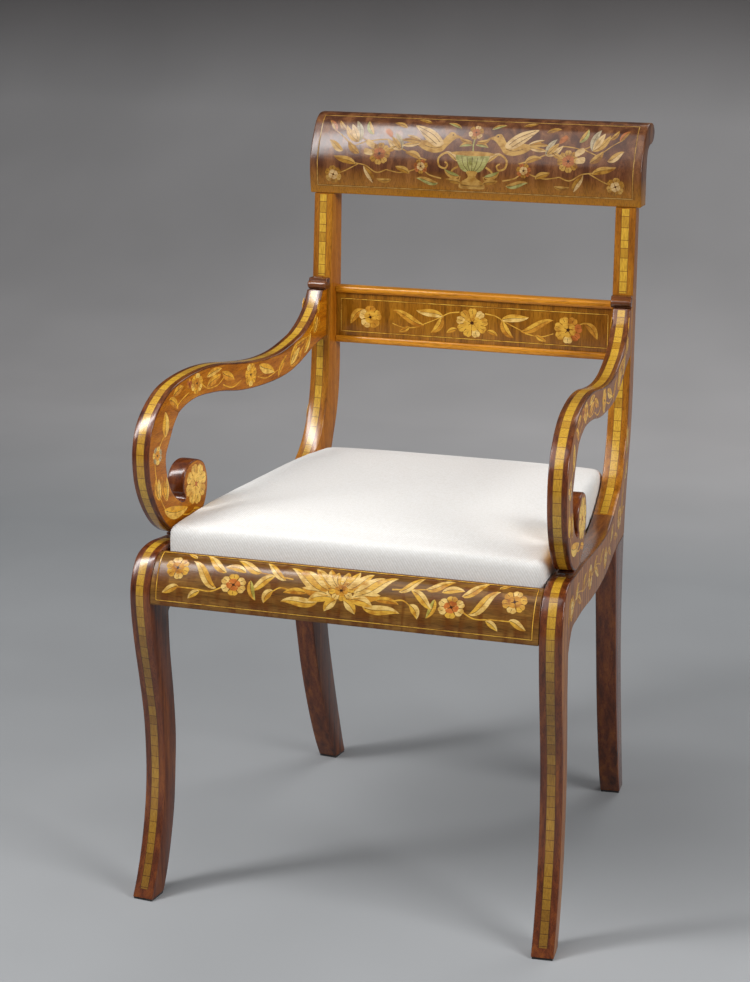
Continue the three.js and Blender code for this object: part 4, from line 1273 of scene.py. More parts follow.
@dataclass
class CrossRails:
    """The crest, the middle rail with its mouldings, and the two seat rails."""

    finishes: Finishes
    sizes: Sizes = SIZES
    crest_overhang: float = 5.7
    crest_face: int = 72
    mid_thickness: float = 14.0
    mid_recess: float = 18.0
    moulding_height: float = 9.0
    moulding_proud: float = 3.0
    moulding_shoulder: float = 0.35
    moulding_fillet: float = 0.2
    front_recess: float = 1.0
    front_thickness: float = 47.0
    rear_thickness: float = 22.0
    rear_lip: float = 8.0
    rear_lip_below: float = 2.0
    rear_slope: float = 14.0
    edge: Edge = Edge(round=1.0, crown=0.0, steps=3, spans=2)

    def __post_init__(self) -> None:
        """Works out the places of the rails."""
        sizes = self.sizes
        cosine = math.cos(sizes.toe_in)
        shares = spline(sizes.high(CREST, sizes.back_rise), 8)
        self.crest = [(sizes.front_y + s * cosine, z) for s, z in shares]
        crest_front = sizes.front_y + CREST[0][0] * sizes.side_depth * cosine
        self.crest_half = sizes.inner_x(crest_front) + sizes.board / cosine + self.crest_overhang
        self.mid_bottom = sizes.seat_height + MID_RAIL[0] * sizes.back_rise
        self.mid_top = sizes.seat_height + MID_RAIL[1] * sizes.back_rise
        self.mid_front = sizes.inner_y(ARM_SEAT[1][0] * sizes.side_depth) + self.mid_recess
        self.ledge = sizes.seat_height - sizes.seat_sink
        self.rail_bottom = sizes.seat_height - sizes.rail_drop
        leg = spline(sizes.low(LEG_FRONT), 6)
        cut = FRONT_LIP[0] * sizes.side_depth
        self.front_face = [
            (sizes.inner_y(s) + self.front_recess, z)
            for s, z in leg
            if z > self.rail_bottom and s < cut
        ]
        self.front_back = sizes.inner_y(crossing(leg[:-2], self.rail_bottom)) + self.front_thickness
        self.lip_back = sizes.inner_y(FRONT_LIP[1] * sizes.side_depth)
        self.rear_back = sizes.inner_y(STILE_BACK[-2][0] * sizes.side_depth) - sizes.fit
        self.rear_lip_front = self.rear_back - self.rear_lip

    def build(self) -> None:
        """Builds every cross rail."""
        self.build_crest()
        self.build_mid_rail()
        self.build_front_rail()
        self.build_rear_rail()

    def rail(self, name: str, node_name: str, outline: Run, finish: Material, slot: str) -> Piece:
        """Builds a rail whose ends follow the side frames.

        Args:
            name: The piece's name.
            node_name: The node that it stands for.
            outline: Its section, as closed (Y, Z) points.
            finish: Its wood.
            slot: The record's material slot.

        Returns:
            The rail.
        """
        sizes = self.sizes
        reach = 2 * sizes.inner_x(outline[0][0])

        def place(y: float, z: float, across: float) -> Vector:
            """A place in the chair, in metres."""
            share = 2 * across / reach - 1
            return Vector((share * (sizes.inner_x(y) - sizes.fit), y, z)) * MM

        bm = bmesh.new()
        loft(bm, outline, reach, self.edge, place)
        return held_by(to_object(bm, name, [finish]), FRAME_BODY, slot, node_name)

    def build_crest(self) -> None:
        """The crest: a tablet whose top rolls over to the back."""
        bm = bmesh.new()
        place: Place = lambda y, z, across: Vector((across - self.crest_half, y, z)) * MM
        edge = Edge(round=1.6, steps=4, spans=2)
        loft(bm, eased(self.crest, 1.2), 2 * self.crest_half, edge, place)
        piece = to_object(bm, "polished_crest", [self.finishes.crest_veneer])
        held_by(piece, FRAME_BODY, "marquetry_veneer", "crest_rail")

    def build_mid_rail(self) -> None:
        """The middle rail, with a moulding along its top and its bottom."""
        front, back = self.mid_front, self.mid_front + self.mid_thickness
        low, high = self.mid_bottom, self.mid_top
        panel = eased([(front, low), (back, low), (back, high), (front, high)], 1.0)
        veneer, stained = self.finishes.mid_veneer, self.finishes.moulding_wood
        rail = self.rail("polished_mid_rail", "mid_rail", panel, veneer, "marquetry_veneer")
        rail.data.materials.append(stained)
        for polygon in rail.data.polygons:
            polygon.material_index = int(polygon.normal.y > -0.8)
        face = front - self.sizes.fit
        starts = {"top": high - self.moulding_height, "bottom": low}
        for word, bottom in starts.items():
            section = self.moulding_section(face, bottom)
            node_name = f"mid_rail_moulding_{word}"
            self.rail(f"mid_moulding_{word}", node_name, section, stained, "mahogany")

    def moulding_section(self, face: float, bottom: float) -> list[Flat]:
        """The section of a moulding: a half round that stands on the rail's face.

        Args:
            face: The Y of the rail's face.
            bottom: The height of the moulding's underside.

        Returns:
            The section's (Y, Z) points.
        """
        half, shoulder = self.moulding_height / 2, self.moulding_shoulder
        section = [(face, bottom), (face, bottom + self.moulding_height)]
        for i in range(11):
            angle = math.pi / 2 - math.pi * i / 10
            bulge = self.moulding_proud * (shoulder + (1 - shoulder) * math.cos(angle))
            up = half + (half - self.moulding_fillet) * math.sin(angle)
            section.append((face - bulge, bottom + up))
        return section

    def build_front_rail(self) -> None:
        """The front seat rail, whose face rolls back to the seat."""
        face, back = self.front_face, self.front_back
        outline = [(face[0][0], self.rail_bottom), *face, (self.lip_back, face[-1][1])]
        outline += [(self.lip_back, self.ledge), (back, self.ledge), (back, self.rail_bottom)]
        section, veneer = eased(outline, 1.2), self.finishes.rail_veneer
        self.rail("polished_front_rail", "front_seat_rail", section, veneer, "marquetry_veneer")

    def build_rear_rail(self) -> None:
        """The rear seat rail, whose back follows the stiles."""
        sizes = self.sizes
        lip_top = sizes.seat_height - self.rear_lip_below
        under_back = sizes.inner_y(STILE_BACK[-1][0] * sizes.side_depth) - sizes.fit
        front = self.rear_lip_front - self.rear_thickness
        outline = [
            (front, self.rail_bottom),
            (under_back - self.rear_lip, self.rail_bottom),
            (under_back, self.ledge - self.rear_slope),
            (self.rear_back, lip_top),
            (self.rear_lip_front, lip_top),
            (self.rear_lip_front, self.ledge),
            (front, self.ledge),
        ]
        section, wood = eased(outline, 1.0), self.finishes.mahogany_across
        self.rail("polished_rear_rail", "rear_seat_rail", section, wood, "mahogany")


# ---- marquetry, in millimetres on a face


class Veneer(Enum):
    """The woods of the inlay, numbered as their materials are."""

    CREAM = 0
    GOLD = 1
    ORANGE = 2
    RED = 3
    GREEN = 4
    GREY = 5
    LINE = 6


class Layer(Enum):
    """How far inlay stands above the ground, so that a later cut lies over an earlier one."""

    STEM = 0.05
    LEAF = 0.08
    PETAL = 0.12
    HEART = 0.16
    ENGRAVED = 0.2


@dataclass(frozen=True)
class Shape:
    """One cut piece of veneer: its closed outline, its wood and its layer."""

    outline: tuple[Flat, ...]
    wood: Veneer
    layer: Layer


def bezier(a: Flat, b: Flat, c: Flat, d: Flat, t: float) -> Flat:
    """A point of the cubic curve from a to d, with b and c as its handles."""
    weights = ((1 - t) ** 3, 3 * (1 - t) ** 2 * t, 3 * (1 - t) * t**2, t**3)
    return tuple(sum(w * p[n] for w, p in zip(weights, (a, b, c, d))) for n in (0, 1))


def stroke(run: Run, width: float, taper: float = 0.0) -> tuple[Flat, ...]:
    """A line of some width as a closed outline.

    Args:
        run: The line's points.
        width: Its width.
        taper: How much of the width is lost at the end, from 0 to 1.

    Returns:
        The outline.
    """
    normals, last = run_normals(run), len(run) - 1
    left, right = [], []
    for i, ((x, y), (nx, ny)) in enumerate(zip(run, normals)):
        half = width / 2 * (1 - taper * i / last)
        left.append((x + nx * half, y + ny * half))
        right.append((x - nx * half, y - ny * half))
    return (*left, *reversed(right))


@dataclass(frozen=True)
class Leaf:
    """A pointed leaf in two halves, the lower one scorched, with an engraved rib."""

    base: Flat
    tip: Flat
    width: float
    bend: float = 0.0
    curl: float | None = None
    wood: Veneer = Veneer.GOLD
    shade: Veneer = Veneer.ORANGE
    layer: Layer = Layer.LEAF

    def shapes(self) -> list[Shape]:
        """The leaf's pieces.

        Returns:
            The two halves, and the rib of a wide leaf.
        """
        length = math.dist(self.base, self.tip)
        bends = (self.bend, self.bend if self.curl is None else self.curl)
        handles = [
            between(self.base, self.tip, share, bend / length)
            for share, bend in zip((1 / 3, 2 / 3), bends)
        ]
        steps = 12
        rib = [bezier(self.base, *handles, self.tip, i / steps) for i in range(steps + 1)]
        normals = run_normals(rib)
        halves = []
        for sign in (1, -1):
            rim = []
            for i, ((x, y), (nx, ny)) in enumerate(zip(rib, normals)):
                t = i / steps
                bulge = math.sin(math.pi * t**0.85) ** 0.8 if 0 < i < steps else 0.0
                swell = sign * self.width / 2 * bulge
                rim.append((x + nx * swell, y + ny * swell))
            halves.append((*rim, *reversed(rib[1:-1])))
        shapes = [Shape(halves[0], self.wood, self.layer), Shape(halves[1], self.shade, self.layer)]
        if self.width > 4:
            shapes.append(Shape(stroke(rib[1:-2], 0.5, 0.6), Veneer.LINE, Layer.ENGRAVED))
        return shapes


@dataclass(frozen=True)
class Stem:
    """A thin stem through some points."""

    points: tuple[Flat, ...]
    width: float = 1.6
    wood: Veneer = Veneer.GOLD
    taper: float = 0.3

    def shapes(self) -> list[Shape]:
        """The stem in one piece."""
        outline = stroke(spline(self.points, 6), self.width, self.taper)
        return [Shape(outline, self.wood, Layer.STEM)]


@dataclass(frozen=True)
class Patch:
    """A piece with a free outline; a smooth one runs in a curve through its points."""

    points: tuple[Flat, ...]
    wood: Veneer = Veneer.GOLD
    layer: Layer = Layer.PETAL
    smooth: bool = True

    def shapes(self) -> list[Shape]:
        """The patch.

        Returns:
            Its one piece.
        """
        if not self.smooth:
            return [Shape(self.points, self.wood, self.layer)]
        count = len(self.points)
        wrapped = [self.points[i % count] for i in range(-2, count + 3)]
        run = spline(wrapped, 5)
        return [Shape(tuple(run[10 : 10 + 5 * count]), self.wood, self.layer)]


@dataclass(frozen=True)
class Engraved:
    """A dark engraved line through some points."""

    points: tuple[Flat, ...]
    width: float = 0.55

    def shapes(self) -> list[Shape]:
        """The line in one piece."""
        return [Shape(stroke(spline(self.points, 4), self.width), Veneer.LINE, Layer.ENGRAVED)]


@dataclass(frozen=True)
class Bloom:
    """An open flower: a ring of petals, an inner ring, and a heart."""

    centre: Flat
    radius: float
    petals: int = 6
    woods: tuple[Veneer, ...] = (Veneer.GOLD, Veneer.CREAM)
    inner: Veneer = Veneer.ORANGE
    turn: float = 0.0
    flat: float = 1.0
    heart_share: float = 0.11
    heart: Veneer = Veneer.LINE

    def shapes(self) -> list[Shape]:
        """The flower's pieces.

        Returns:
            Every petal, each with a short engraved line on a large flower, and the heart.
        """
        rings = (
            (0.0, 0.3, 1.0, self.petals, self.woods, Layer.PETAL),
            (0.5, 0.12, 0.56, max(self.petals - 2, 4), (self.inner,), Layer.HEART),
        )
        shapes = []
        for shift, inside, outer, count, woods, layer in rings:
            for i in range(count):
                middle = self.turn + 2 * math.pi * (i + shift) / count
                petal = self._petal(middle, self.radius * inside, self.radius * outer, count)
                shapes.append(Shape(petal, woods[i % len(woods)], layer))
                rib = [self._at(middle, self.radius * outer * share) for share in (0.62, 0.88)]
                if not shift and self.radius > 9:
                    shapes.append(Shape(stroke(rib, 0.5, 0.5), Veneer.LINE, Layer.ENGRAVED))
        heart = [self._at(2 * math.pi * i / 12, self.radius * self.heart_share) for i in range(12)]
        shapes.append(Shape(tuple(heart), self.heart, Layer.ENGRAVED))
        return shapes

    def _at(self, angle: float, reach: float) -> Flat:
        """A place at an angle and a distance from the flower's centre."""
        x = self.centre[0] + reach * math.cos(angle)
        return (x, self.centre[1] + reach * self.flat * math.sin(angle))

    def _petal(self, middle: float, inside: float, outer: float, count: int) -> tuple[Flat, ...]:
        """One petal: narrow at the heart, round at its end, with a dark gap to the next.

        Args:
            middle: The angle of its middle.
            inside: Its distance from the centre.
            outer: How far out its end lies.
            count: How many petals share the ring.

        Returns:
            Its outline.
        """
        half = math.pi / count * 0.97
        rim = []
        for k in range(11):
            share = k / 5 - 1
            shoulder, notch = 0.2 * abs(share) ** 2.6, 0.06 * math.exp(-((share * 5) ** 2))
            rim.append(self._at(middle + half * share, outer * (1 - shoulder) * (1 - notch)))
        return (*(self._at(middle + half * share, inside) for share in (0.55, -0.55)), *rim)


@dataclass(frozen=True)
class Tulip:
    """A closed flower of three petals on its stem."""

    base: Flat
    tip: Flat
    width: float
    woods: tuple[Veneer, Veneer, Veneer] = (Veneer.GOLD, Veneer.CREAM, Veneer.ORANGE)

    def shapes(self) -> list[Shape]:
        """The flower's pieces.

        Returns:
            The two side petals, and the middle one over them.
        """
        base, tip, width = self.base, self.tip, self.width
        spread = width * 0.42 / math.dist(base, tip)
        left, middle, right = self.woods
        shapes = []
        for sign, wood in ((1, left), (-1, right)):
            end = between(base, tip, 1.0, spread * sign)
            petal = Leaf(base, end, width * 0.52, width * 0.24 * sign, wood=wood, shade=wood)
            shapes.extend(petal.shapes())
        near, far = (between(base, tip, share) for share in (0.06, 0.94))
        front = Leaf(near, far, width * 0.5, wood=middle, shade=middle, layer=Layer.PETAL)
        return [*shapes, *front.shapes()]


Motif = Leaf | Stem | Patch | Engraved | Bloom | Tulip
KINDS = {
    "leaf": Leaf, "stem": Stem, "patch": Patch, "line": Engraved, "bloom": Bloom, "tulip": Tulip,
}
WOODS = dict(zip("CGORNWK", Veneer))


def drawn(text: str) -> list[Motif]:
    """The motifs of a drawing list.

    Args:
        text: A line for each motif: its kind, its points as x,y in millimetres, then its other
            fields in their order, with a dash for one that keeps its default. Woods are given by
            their letter in WOODS, a layer by its name, and "sharp" makes a patch with corners.

    Returns:
        The motifs, in the order of the lines.
    """
    motifs: list[Motif] = []
    for line in text.strip().splitlines():
        kind, *words = line.split()
        made = KINDS[kind]
        places = tuple(points(" ".join(word for word in words if "," in word)))
        values = [places] if "points" in made.__annotations__ else [*places]
        values += [_field(word) for word in words if "," not in word]
        named = zip(made.__annotations__, values)
        motifs.append(made(**{name: value for name, value in named if value is not None}))
    return motifs


def _field(word: str) -> float | bool | Layer | Veneer | tuple[Veneer, ...] | None:
    """The value that a word of a drawing list stands for.

    Args:
        word: A number, a dash, "sharp", a layer's name or the letters of some woods.

    Returns:
        The value, None for a default.
    """
    if word in ("-", "sharp"):
        return None if word == "-" else False
    if word.isupper():
        woods = tuple(WOODS[letter] for letter in word)
        return woods if len(woods) > 1 else woods[0]
    if word.isalpha():
        return Layer[word.upper()]
    return int(word) if word.lstrip("-").isdigit() else float(word)


@dataclass
class InlaySheet:
    """All the marquetry of one face, which becomes one piece with a material for each wood."""

    name: str
    place: Place
    cut: float = 0.0
    sink: float = 0.35
    shapes: list[Shape] = field(default_factory=list)

    def add(self, motifs: Sequence[Motif], mirror: bool = False) -> None:
        """Adds motifs to the sheet.

        Args:
            motifs: The motifs.
            mirror: Adds them turned over about the middle of the face.
        """
        for motif in motifs:
            for shape in motif.shapes():
                if mirror:
                    outline = tuple((-x, y) for x, y in shape.outline)
                    shape = Shape(outline, shape.wood, shape.layer)
                self.shapes.append(shape)

    def add_string(self, points: Run, width: float = 1.1, dark: float = 0.4) -> None:
        """Adds a golden string with a thin dark line on either side."""
        self.shapes.append(Shape(stroke(points, width + 2 * dark), Veneer.LINE, Layer.STEM))
        self.shapes.append(Shape(stroke(points, width), Veneer.GOLD, Layer.PETAL))

    def build(self, woods: Sequence[Material]) -> Piece:
        """Cuts the shapes, lays them on the face, and makes them the sheet's one piece.

        Args:
            woods: A finish for each member of Veneer.

        Returns:
            The piece, not yet riding on a body.
        """
        flat = bmesh.new()
        heights = flat.verts.layers.float.new("layer")
        for number, shape in enumerate(self.shapes):
            outline = [Vector((x, y, 0.0)) for x, y in shape.outline]
            verts = [flat.verts.new(point) for point in outline]
            for vert in verts:
                # A hair's difference, so that pieces that cross never share a plane.
                vert[heights] = shape.layer.value + 0.002 * (number % 9)
            for corners_of in tessellate_polygon([outline]):
                if len(set(corners_of)) == 3:
                    face = flat.faces.new([verts[i] for i in corners_of])
                    face.material_index = shape.wood.value
        self._cut(flat)
        bm = bmesh.new()
        self._thicken(flat, heights, bm)
        flat.free()
        return to_object(bm, self.name, woods)

    def _cut(self, flat: Mesh) -> None:
        """Cuts the faces across, so that they can follow a curved face.

        Args:
            flat: The shapes, still flat.
        """
        if not self.cut:
            return
        low = min(v.co.y for v in flat.verts)
        high = max(v.co.y for v in flat.verts)
        for i in range(math.floor(low / self.cut), math.ceil(high / self.cut) + 1):
            parts = [*flat.verts, *flat.edges, *flat.faces]
            level = Vector((0.0, i * self.cut, 0.0))
            bmesh.ops.bisect_plane(flat, geom=parts, dist=1e-4, plane_co=level, plane_no=(0, 1, 0))

    def _thicken(self, flat: Mesh, heights: bmesh.types.BMLayerItem, bm: Mesh) -> None:
        """Gives each shape a top, a bottom in the wood, and walls.

        Args:
            flat: The shapes, still flat.
            heights: The layer that holds how high each point stands.
            bm: The mesh that gets them.
        """
        for vert in [v for v in flat.verts if not v.link_faces]:
            flat.verts.remove(vert)
        tops, lows = {}, {}
        for vert in flat.verts:
            x, y = vert.co.x, vert.co.y
            tops[vert] = bm.verts.new(self.place(x, y, vert[heights]))
            lows[vert] = bm.verts.new(self.place(x, y, -self.sink))
        for face in flat.faces:
            corners_of = list(face.verts)
            for side in ([tops[v] for v in corners_of], [lows[v] for v in reversed(corners_of)]):
                bm.faces.new(side).material_index = face.material_index
        for edge in flat.edges:
            if len(edge.link_faces) == 1:
                a, b = edge.verts
                wall = bm.faces.new((tops[a], tops[b], lows[b], lows[a]))
                wall.material_index = edge.link_faces[0].material_index


CREST_MIDDLE = drawn("""
stem 0,60 -1,70 0,80 2 N
patch -25,57 0,55.6 25,57 26,60 0,62 -26,60 - heart
patch -21,56.5 0,56.5 21,56.5 18.5,46 12,37 0,35 -12,37 -18.5,46 N
patch -7,36 7,36 5,29 15,22 16,15 0,14 -16,15 -15,22 -5,29
line -14,54 -11,44 -5,37
line -7,54 -5.5,45 -2.5,37
line 0,54 0,37
line 7,54 5.5,45 2.5,37
line 14,54 11,44 5,37
line -14,19 0,18 14,19
bloom 0,87 10 6 OC R .3
""")
CREST_HALF = drawn("""
stem 22,56 34,59 44,52 43,42 35,39 32,44 36,47 3 - .4
stem 18,42 26,36 24,27 17,25 15,30 2.6 - .4
leaf 14,20 34,26 7 4 -2
leaf 16,30 36,38 8 -4 - N G
leaf 20,48 36,60 6 3 - C G
leaf 2,70 19,67 6 3 - - N
leaf 3,74 20,79 6 -3
patch 24,79 27,85 33,86 38,80 43,74 56,75 72,73 76,70 66,62 52,58 41,60 35,67 29,74
patch 25,83 16,79.5 25,77.5 O - sharp
patch 28,82.6 29.4,83.6 30.6,82.4 29.2,81.2 K engraved
patch 40,70 47,81 60,90 80,94 74,86 68,79 60,72 49,66 C heart
line 45,72 56,82 76,92 .7
line 49,69 61,78 74,87 .7
line 42,66 52,64 64,67 .6
leaf 70,72 96,73 6 1.5 - O G petal
leaf 70,70 95,66 6 -1 - - C petal
leaf 69,72 90,80 5 1 - C - petal
stem 40,26 56,30 67,38 80,34 95,31 113,34 1.8
leaf 44,20 73,25 8 -4 3 - N
bloom 67,40 9.5 7 RO C .2
stem 60,48 78,54 95,62 112,72 126,72 140,70 152,76 1.8
leaf 68,49 89,56 8 4
leaf 82,30 101,39 8 4 -1
tulip 94,60 110,78 14 WGC
patch 110,76 119,83 116,88 109,82 R
leaf 91,90 109,96 6 2
leaf 100,66 118,58 6 -3
bloom 123,54 14.5 8 GOG R .1
patch 132,60 142,66 140,72 131,67 C heart
patch 133,52 143,53 143,60 134,58 C heart
leaf 134,79 143,98 8 -3 - - N
stem 113,34 126,30 140,38 150,40 162,42
leaf 131,16 143,38 9 4 -1 O C
leaf 106,22 126,22 6 -3
stem 140,70 150,66 160,62 1.5
tulip 152,68 166,94 17 WCG
leaf 150,53 166,69 9 -3
leaf 154,39 184,49 9 4 -2
leaf 172,56 192,69 9 -4 2 - C
bloom 184,25 11.5 6 OG C .4
stem 150,40 165,32 174,28 1.5
stem 160,62 176,76 188,84 1.4
leaf 185,82 196,97 7 2 - R
leaf 172,84 182,97 6 -2
leaf 60,98 78,103 5 1.5
leaf 20,92 38,99 5 2 - - N
""")
MID_HALF = drawn("""
stem 17,626 30,624 40,619 52,613 68,606
leaf 38,618 75,625 10 5 -2 - C
leaf 40,619 55,597 10 -5
leaf 64,606 107,623 10 -6 6
stem 70,604 90,601 107,606 1.4
leaf 84,603 98,596 6.2 -1.5 - O G
stem 138,618 148,622 156,618
leaf 146,621 164,602 10 7 3
leaf 20,604 34,598 6.2 1.5
""")
MID_FLOWERS = drawn("""
bloom 0,613 21.5 9 GCG G .15 .9
bloom 126,612 18.5 7 ROGGGCR G .2 .95 .12
bloom -137,612 15.5 5 GOCCG G .3 .98 .12
""")
FRONT_MIDDLE = drawn("""
bloom 0,39 15 8 - - .2 .8
leaf 0,44 4,62 11.2 -2 - C G petal
leaf -4,44 -7,60 10 2 - C G petal
""")
FRONT_HALF = drawn("""
leaf 4,42 17,64 11 -3 - - C petal
leaf 10,42 34,62 12.2 -5 2 C G petal
leaf 14,38 48,58 12.2 -6 4 C G petal
leaf 20,36 63,60 11 -8 5 - C
leaf 14,32 46,38 14.6 5 -3 C - petal
leaf 10,30 38,24 12.2 4 - C G petal
leaf 4,28 18,14 11 3 - - C petal
leaf 26,24 70,20 11 -6 5 C G
leaf 40,32 68,30 7.3 3
stem 60,33 72,35 82,29 1.7
leaf 80,31 90,16 9.8 4 - C G
leaf 66,44 93,64 8.5 -5 2 - C
stem 58,46 80,48 98,50 1.7
leaf 96,50 128,63 9.8 -6 4 C G
leaf 80,47 107,28 9.8 6 -2 C G
leaf 115,48 141,52 8.5 4 - C G
bloom 128,33 16 6 CGC R .5 .78
leaf 108,40 100,18 8.5 3 - - N
leaf 138,46 166,66 9.8 -5 2 C G
leaf 148,27 181,56 11 -9 8 - C
stem 140,30 155,23 175,24 195,24 1.7
bloom 198,46 14.5 6 GCG - .3 .92
leaf 194,25 214,16 8.5 3 -1 C G
leaf 168,22 182,12 7.3 2 - C G
leaf 178,60 190,66 4.9 1 - C G
""")
ARM_MOTIFS = drawn("""
bloom 133,475 25 8 CC C .2 1 .12 R
leaf 60,546 62,576 15.4 -3 - - C
stem 58,548 46,536 36,520 1.8
bloom 42,529 11 7 WC - .3
stem 36,520 38,505 46,480 58,462 1.8
tulip 45,476 44,503 16.2
tulip 62,471 57,499 12 OGC
leaf 56,462 112,452 15.4 -7 -5 - C
stem 100,446 116,443 132,447 1.8
leaf 124,447 146,441 8.4 -2
leaf 72,588 93,573 11.2 3
stem 88,576 105,583 120,587 1.8
leaf 82,590 107,597 9.8 2
bloom 121,597 6 5 RO R .2
bloom 139,594 14.4 6 - - .3 .85
stem 150,592 166,583 190,582 206,588 1.7
leaf 164,584 200,594 11.2 5 -2
leaf 163,597 202,600 8.4 2 - - C
leaf 202,596 234,580 11.2 -4 3
stem 204,580 228,572 252,576 1.7
bloom 277,578 15.4 7 GGC G .2 .95 .12
leaf 300,586 342,569 12.6 -4 3 - C
stem 296,572 320,566 352,570 1.7
leaf 352,561 376,585 9.4 5 -1
tulip 386,569 416,589 19
stem 412,580 430,590 446,603 462,614 1.8
leaf 404,590 442,598 7 2 -2
leaf 426,578 446,600 9.8 -3 - - C
tulip 456,598 468,619 13.6
leaf 468,622 473,640 6 -1 1
""")
RAIL_MOTIFS = drawn("""
leaf 52,372 58,402 10.4 -3
bloom 74,388 14.9 6 GO C .2
stem 86,386 110,394 134,390 1.8
leaf 96,392 122,404 10.4 -4 2 - C
leaf 110,388 140,376 10.4 4 -2
stem 134,390 160,384 186,388 1.8
leaf 146,388 174,400 10.4 -4 2
bloom 204,386 14.9 6 - - .3
stem 218,384 250,388 280,380 1.8
leaf 228,386 256,398 10.4 -4 2
leaf 240,384 270,370 10.4 4 -2 - C
leaf 276,382 306,392 10.4 -4 2
bloom 322,376 13.8 6 OG C .2
stem 334,376 360,384 384,392 1.8
leaf 344,380 368,366 9.1 3
leaf 362,386 384,402 10.4 -4 2 - C
leaf 392,384 420,376 10.4 -3 2
bloom 434,396 14.9 6 - - .4
leaf 448,402 466,424 10.4 -3 1
leaf 452,392 474,400 9.1 3
stem 462,420 476,444 484,470 1.8
leaf 474,436 494,458 10.4 -3 - - C
tulip 484,466 496,500 18
""")


@dataclass
class Marquetry:
    """The inlaid flowers, leaves, birds and urn on every veneered face, with their strings."""

    finishes: Finishes
    rails: CrossRails
    sizes: Sizes = SIZES

    def build(self) -> None:
        """Builds the inlay of every face."""
        self.build_crest()
        self.build_mid_rail()
        self.build_front_rail()
        for hand in Hand:
            self.build_side(hand)

    def wrapped(self, run: Run) -> Place:
        """The mapping of a face that curves upward.

        Args:
            run: The face's (Y, Z) line, from the bottom up.

        Returns:
            Turns (X, length up the face, height over it) into metres.
        """
        lengths = lengths_along(run)

        def place(x: float, length: float, out: float) -> Vector:
            """A place in the chair, in metres."""
            (y, z), (dy, dz) = at_length(run, lengths, length)
            return Vector((x, y - dz * out, z + dy * out)) * MM

        return place

    def laid(self, sheet: InlaySheet, woods: Sequence[Material]) -> None:
        """Builds a sheet in a set of woods, and rides it on the frame."""
        held_by(sheet.build(woods), FRAME_BODY, "marquetry_veneer")

    def rail_sheet(
        self,
        name: str,
        place: Place,
        cut: float,
        motifs: tuple[Sequence[Motif], Sequence[Motif]],
        border: tuple[float, float, float],
        aged: bool = False,
    ) -> None:
        """Builds the inlay of a rail, inside a border of golden string.

        Args:
            name: The sheet's name.
            place: Turns a place on the face and a height over it into metres.
            cut: How wide the cuts across are, 0 on a flat face.
            motifs: Those drawn once, and those drawn on both sides of the middle.
            border: Half the border's length, its lower and its upper line.
            aged: True where the woods have browned.
        """
        sheet = InlaySheet(name, place, cut)
        once, twice = motifs
        sheet.add(once)
        for mirror in (False, True):
            sheet.add(twice, mirror)
        side, low, high = border
        for level in (low, high):
            sheet.add_string([(-side, level), (side, level)])
        for x in (-side, side):
            sheet.add_string([(x, low), (x, high)])
        self.laid(sheet, self.finishes.aged_inlays if aged else self.finishes.inlays)

    def build_crest(self) -> None:
        """The urn between two birds, with flowers to either side."""
        place = self.wrapped(self.rails.crest[: self.rails.crest_face])
        border = (205.5, 10.5, 106.0)
        self.rail_sheet("crest_marquetry", place, 4.0, (CREST_MIDDLE, CREST_HALF), border, True)

    def build_mid_rail(self) -> None:
        """A flower in the middle of the rail, and one toward each end."""
        front = self.rails.mid_front
        place: Place = lambda x, z, out: Vector((x, front - out, z)) * MM
        border = (177.0, 592.0, 634.5)
        self.rail_sheet("mid_rail_marquetry", place, 0.0, (MID_FLOWERS, MID_HALF), border)

    def build_front_rail(self) -> None:
        """A large bloom among curling leaves on the rolled face of the front rail."""
        rails = self.rails
        place = self.wrapped([(rails.front_face[0][0], rails.rail_bottom), *rails.front_face])
        border = (221.0, 6.5, 66.0)
        self.rail_sheet("front_rail_marquetry", place, 3.0, (FRONT_MIDDLE, FRONT_HALF), border)

    def build_side(self, hand: Hand) -> None:
        """The inlay on both faces of an arm, and on the outer face of the side rail.

        Args:
            hand: The side.
        """
        base = self.sizes.side_place(hand)
        faces: dict[str, Place] = {
            "inner": lambda s, z, out: base(s, z, self.sizes.arm_board + out),
            "outer": lambda s, z, out: base(s, z, -out),
        }
        for word, place in faces.items():
            sheet = InlaySheet(f"arm_marquetry_{word}_{hand.word}", place)
            sheet.add(ARM_MOTIFS)
            # The arms get the lighter copies of the woods: painted light.
            self.laid(sheet, self.finishes.fresh_inlays)
        sheet = InlaySheet(f"side_rail_marquetry_{hand.word}", faces["outer"])
        sheet.add(RAIL_MOTIFS)
        self.laid(sheet, self.finishes.inlays)


# ---- drop-in seat


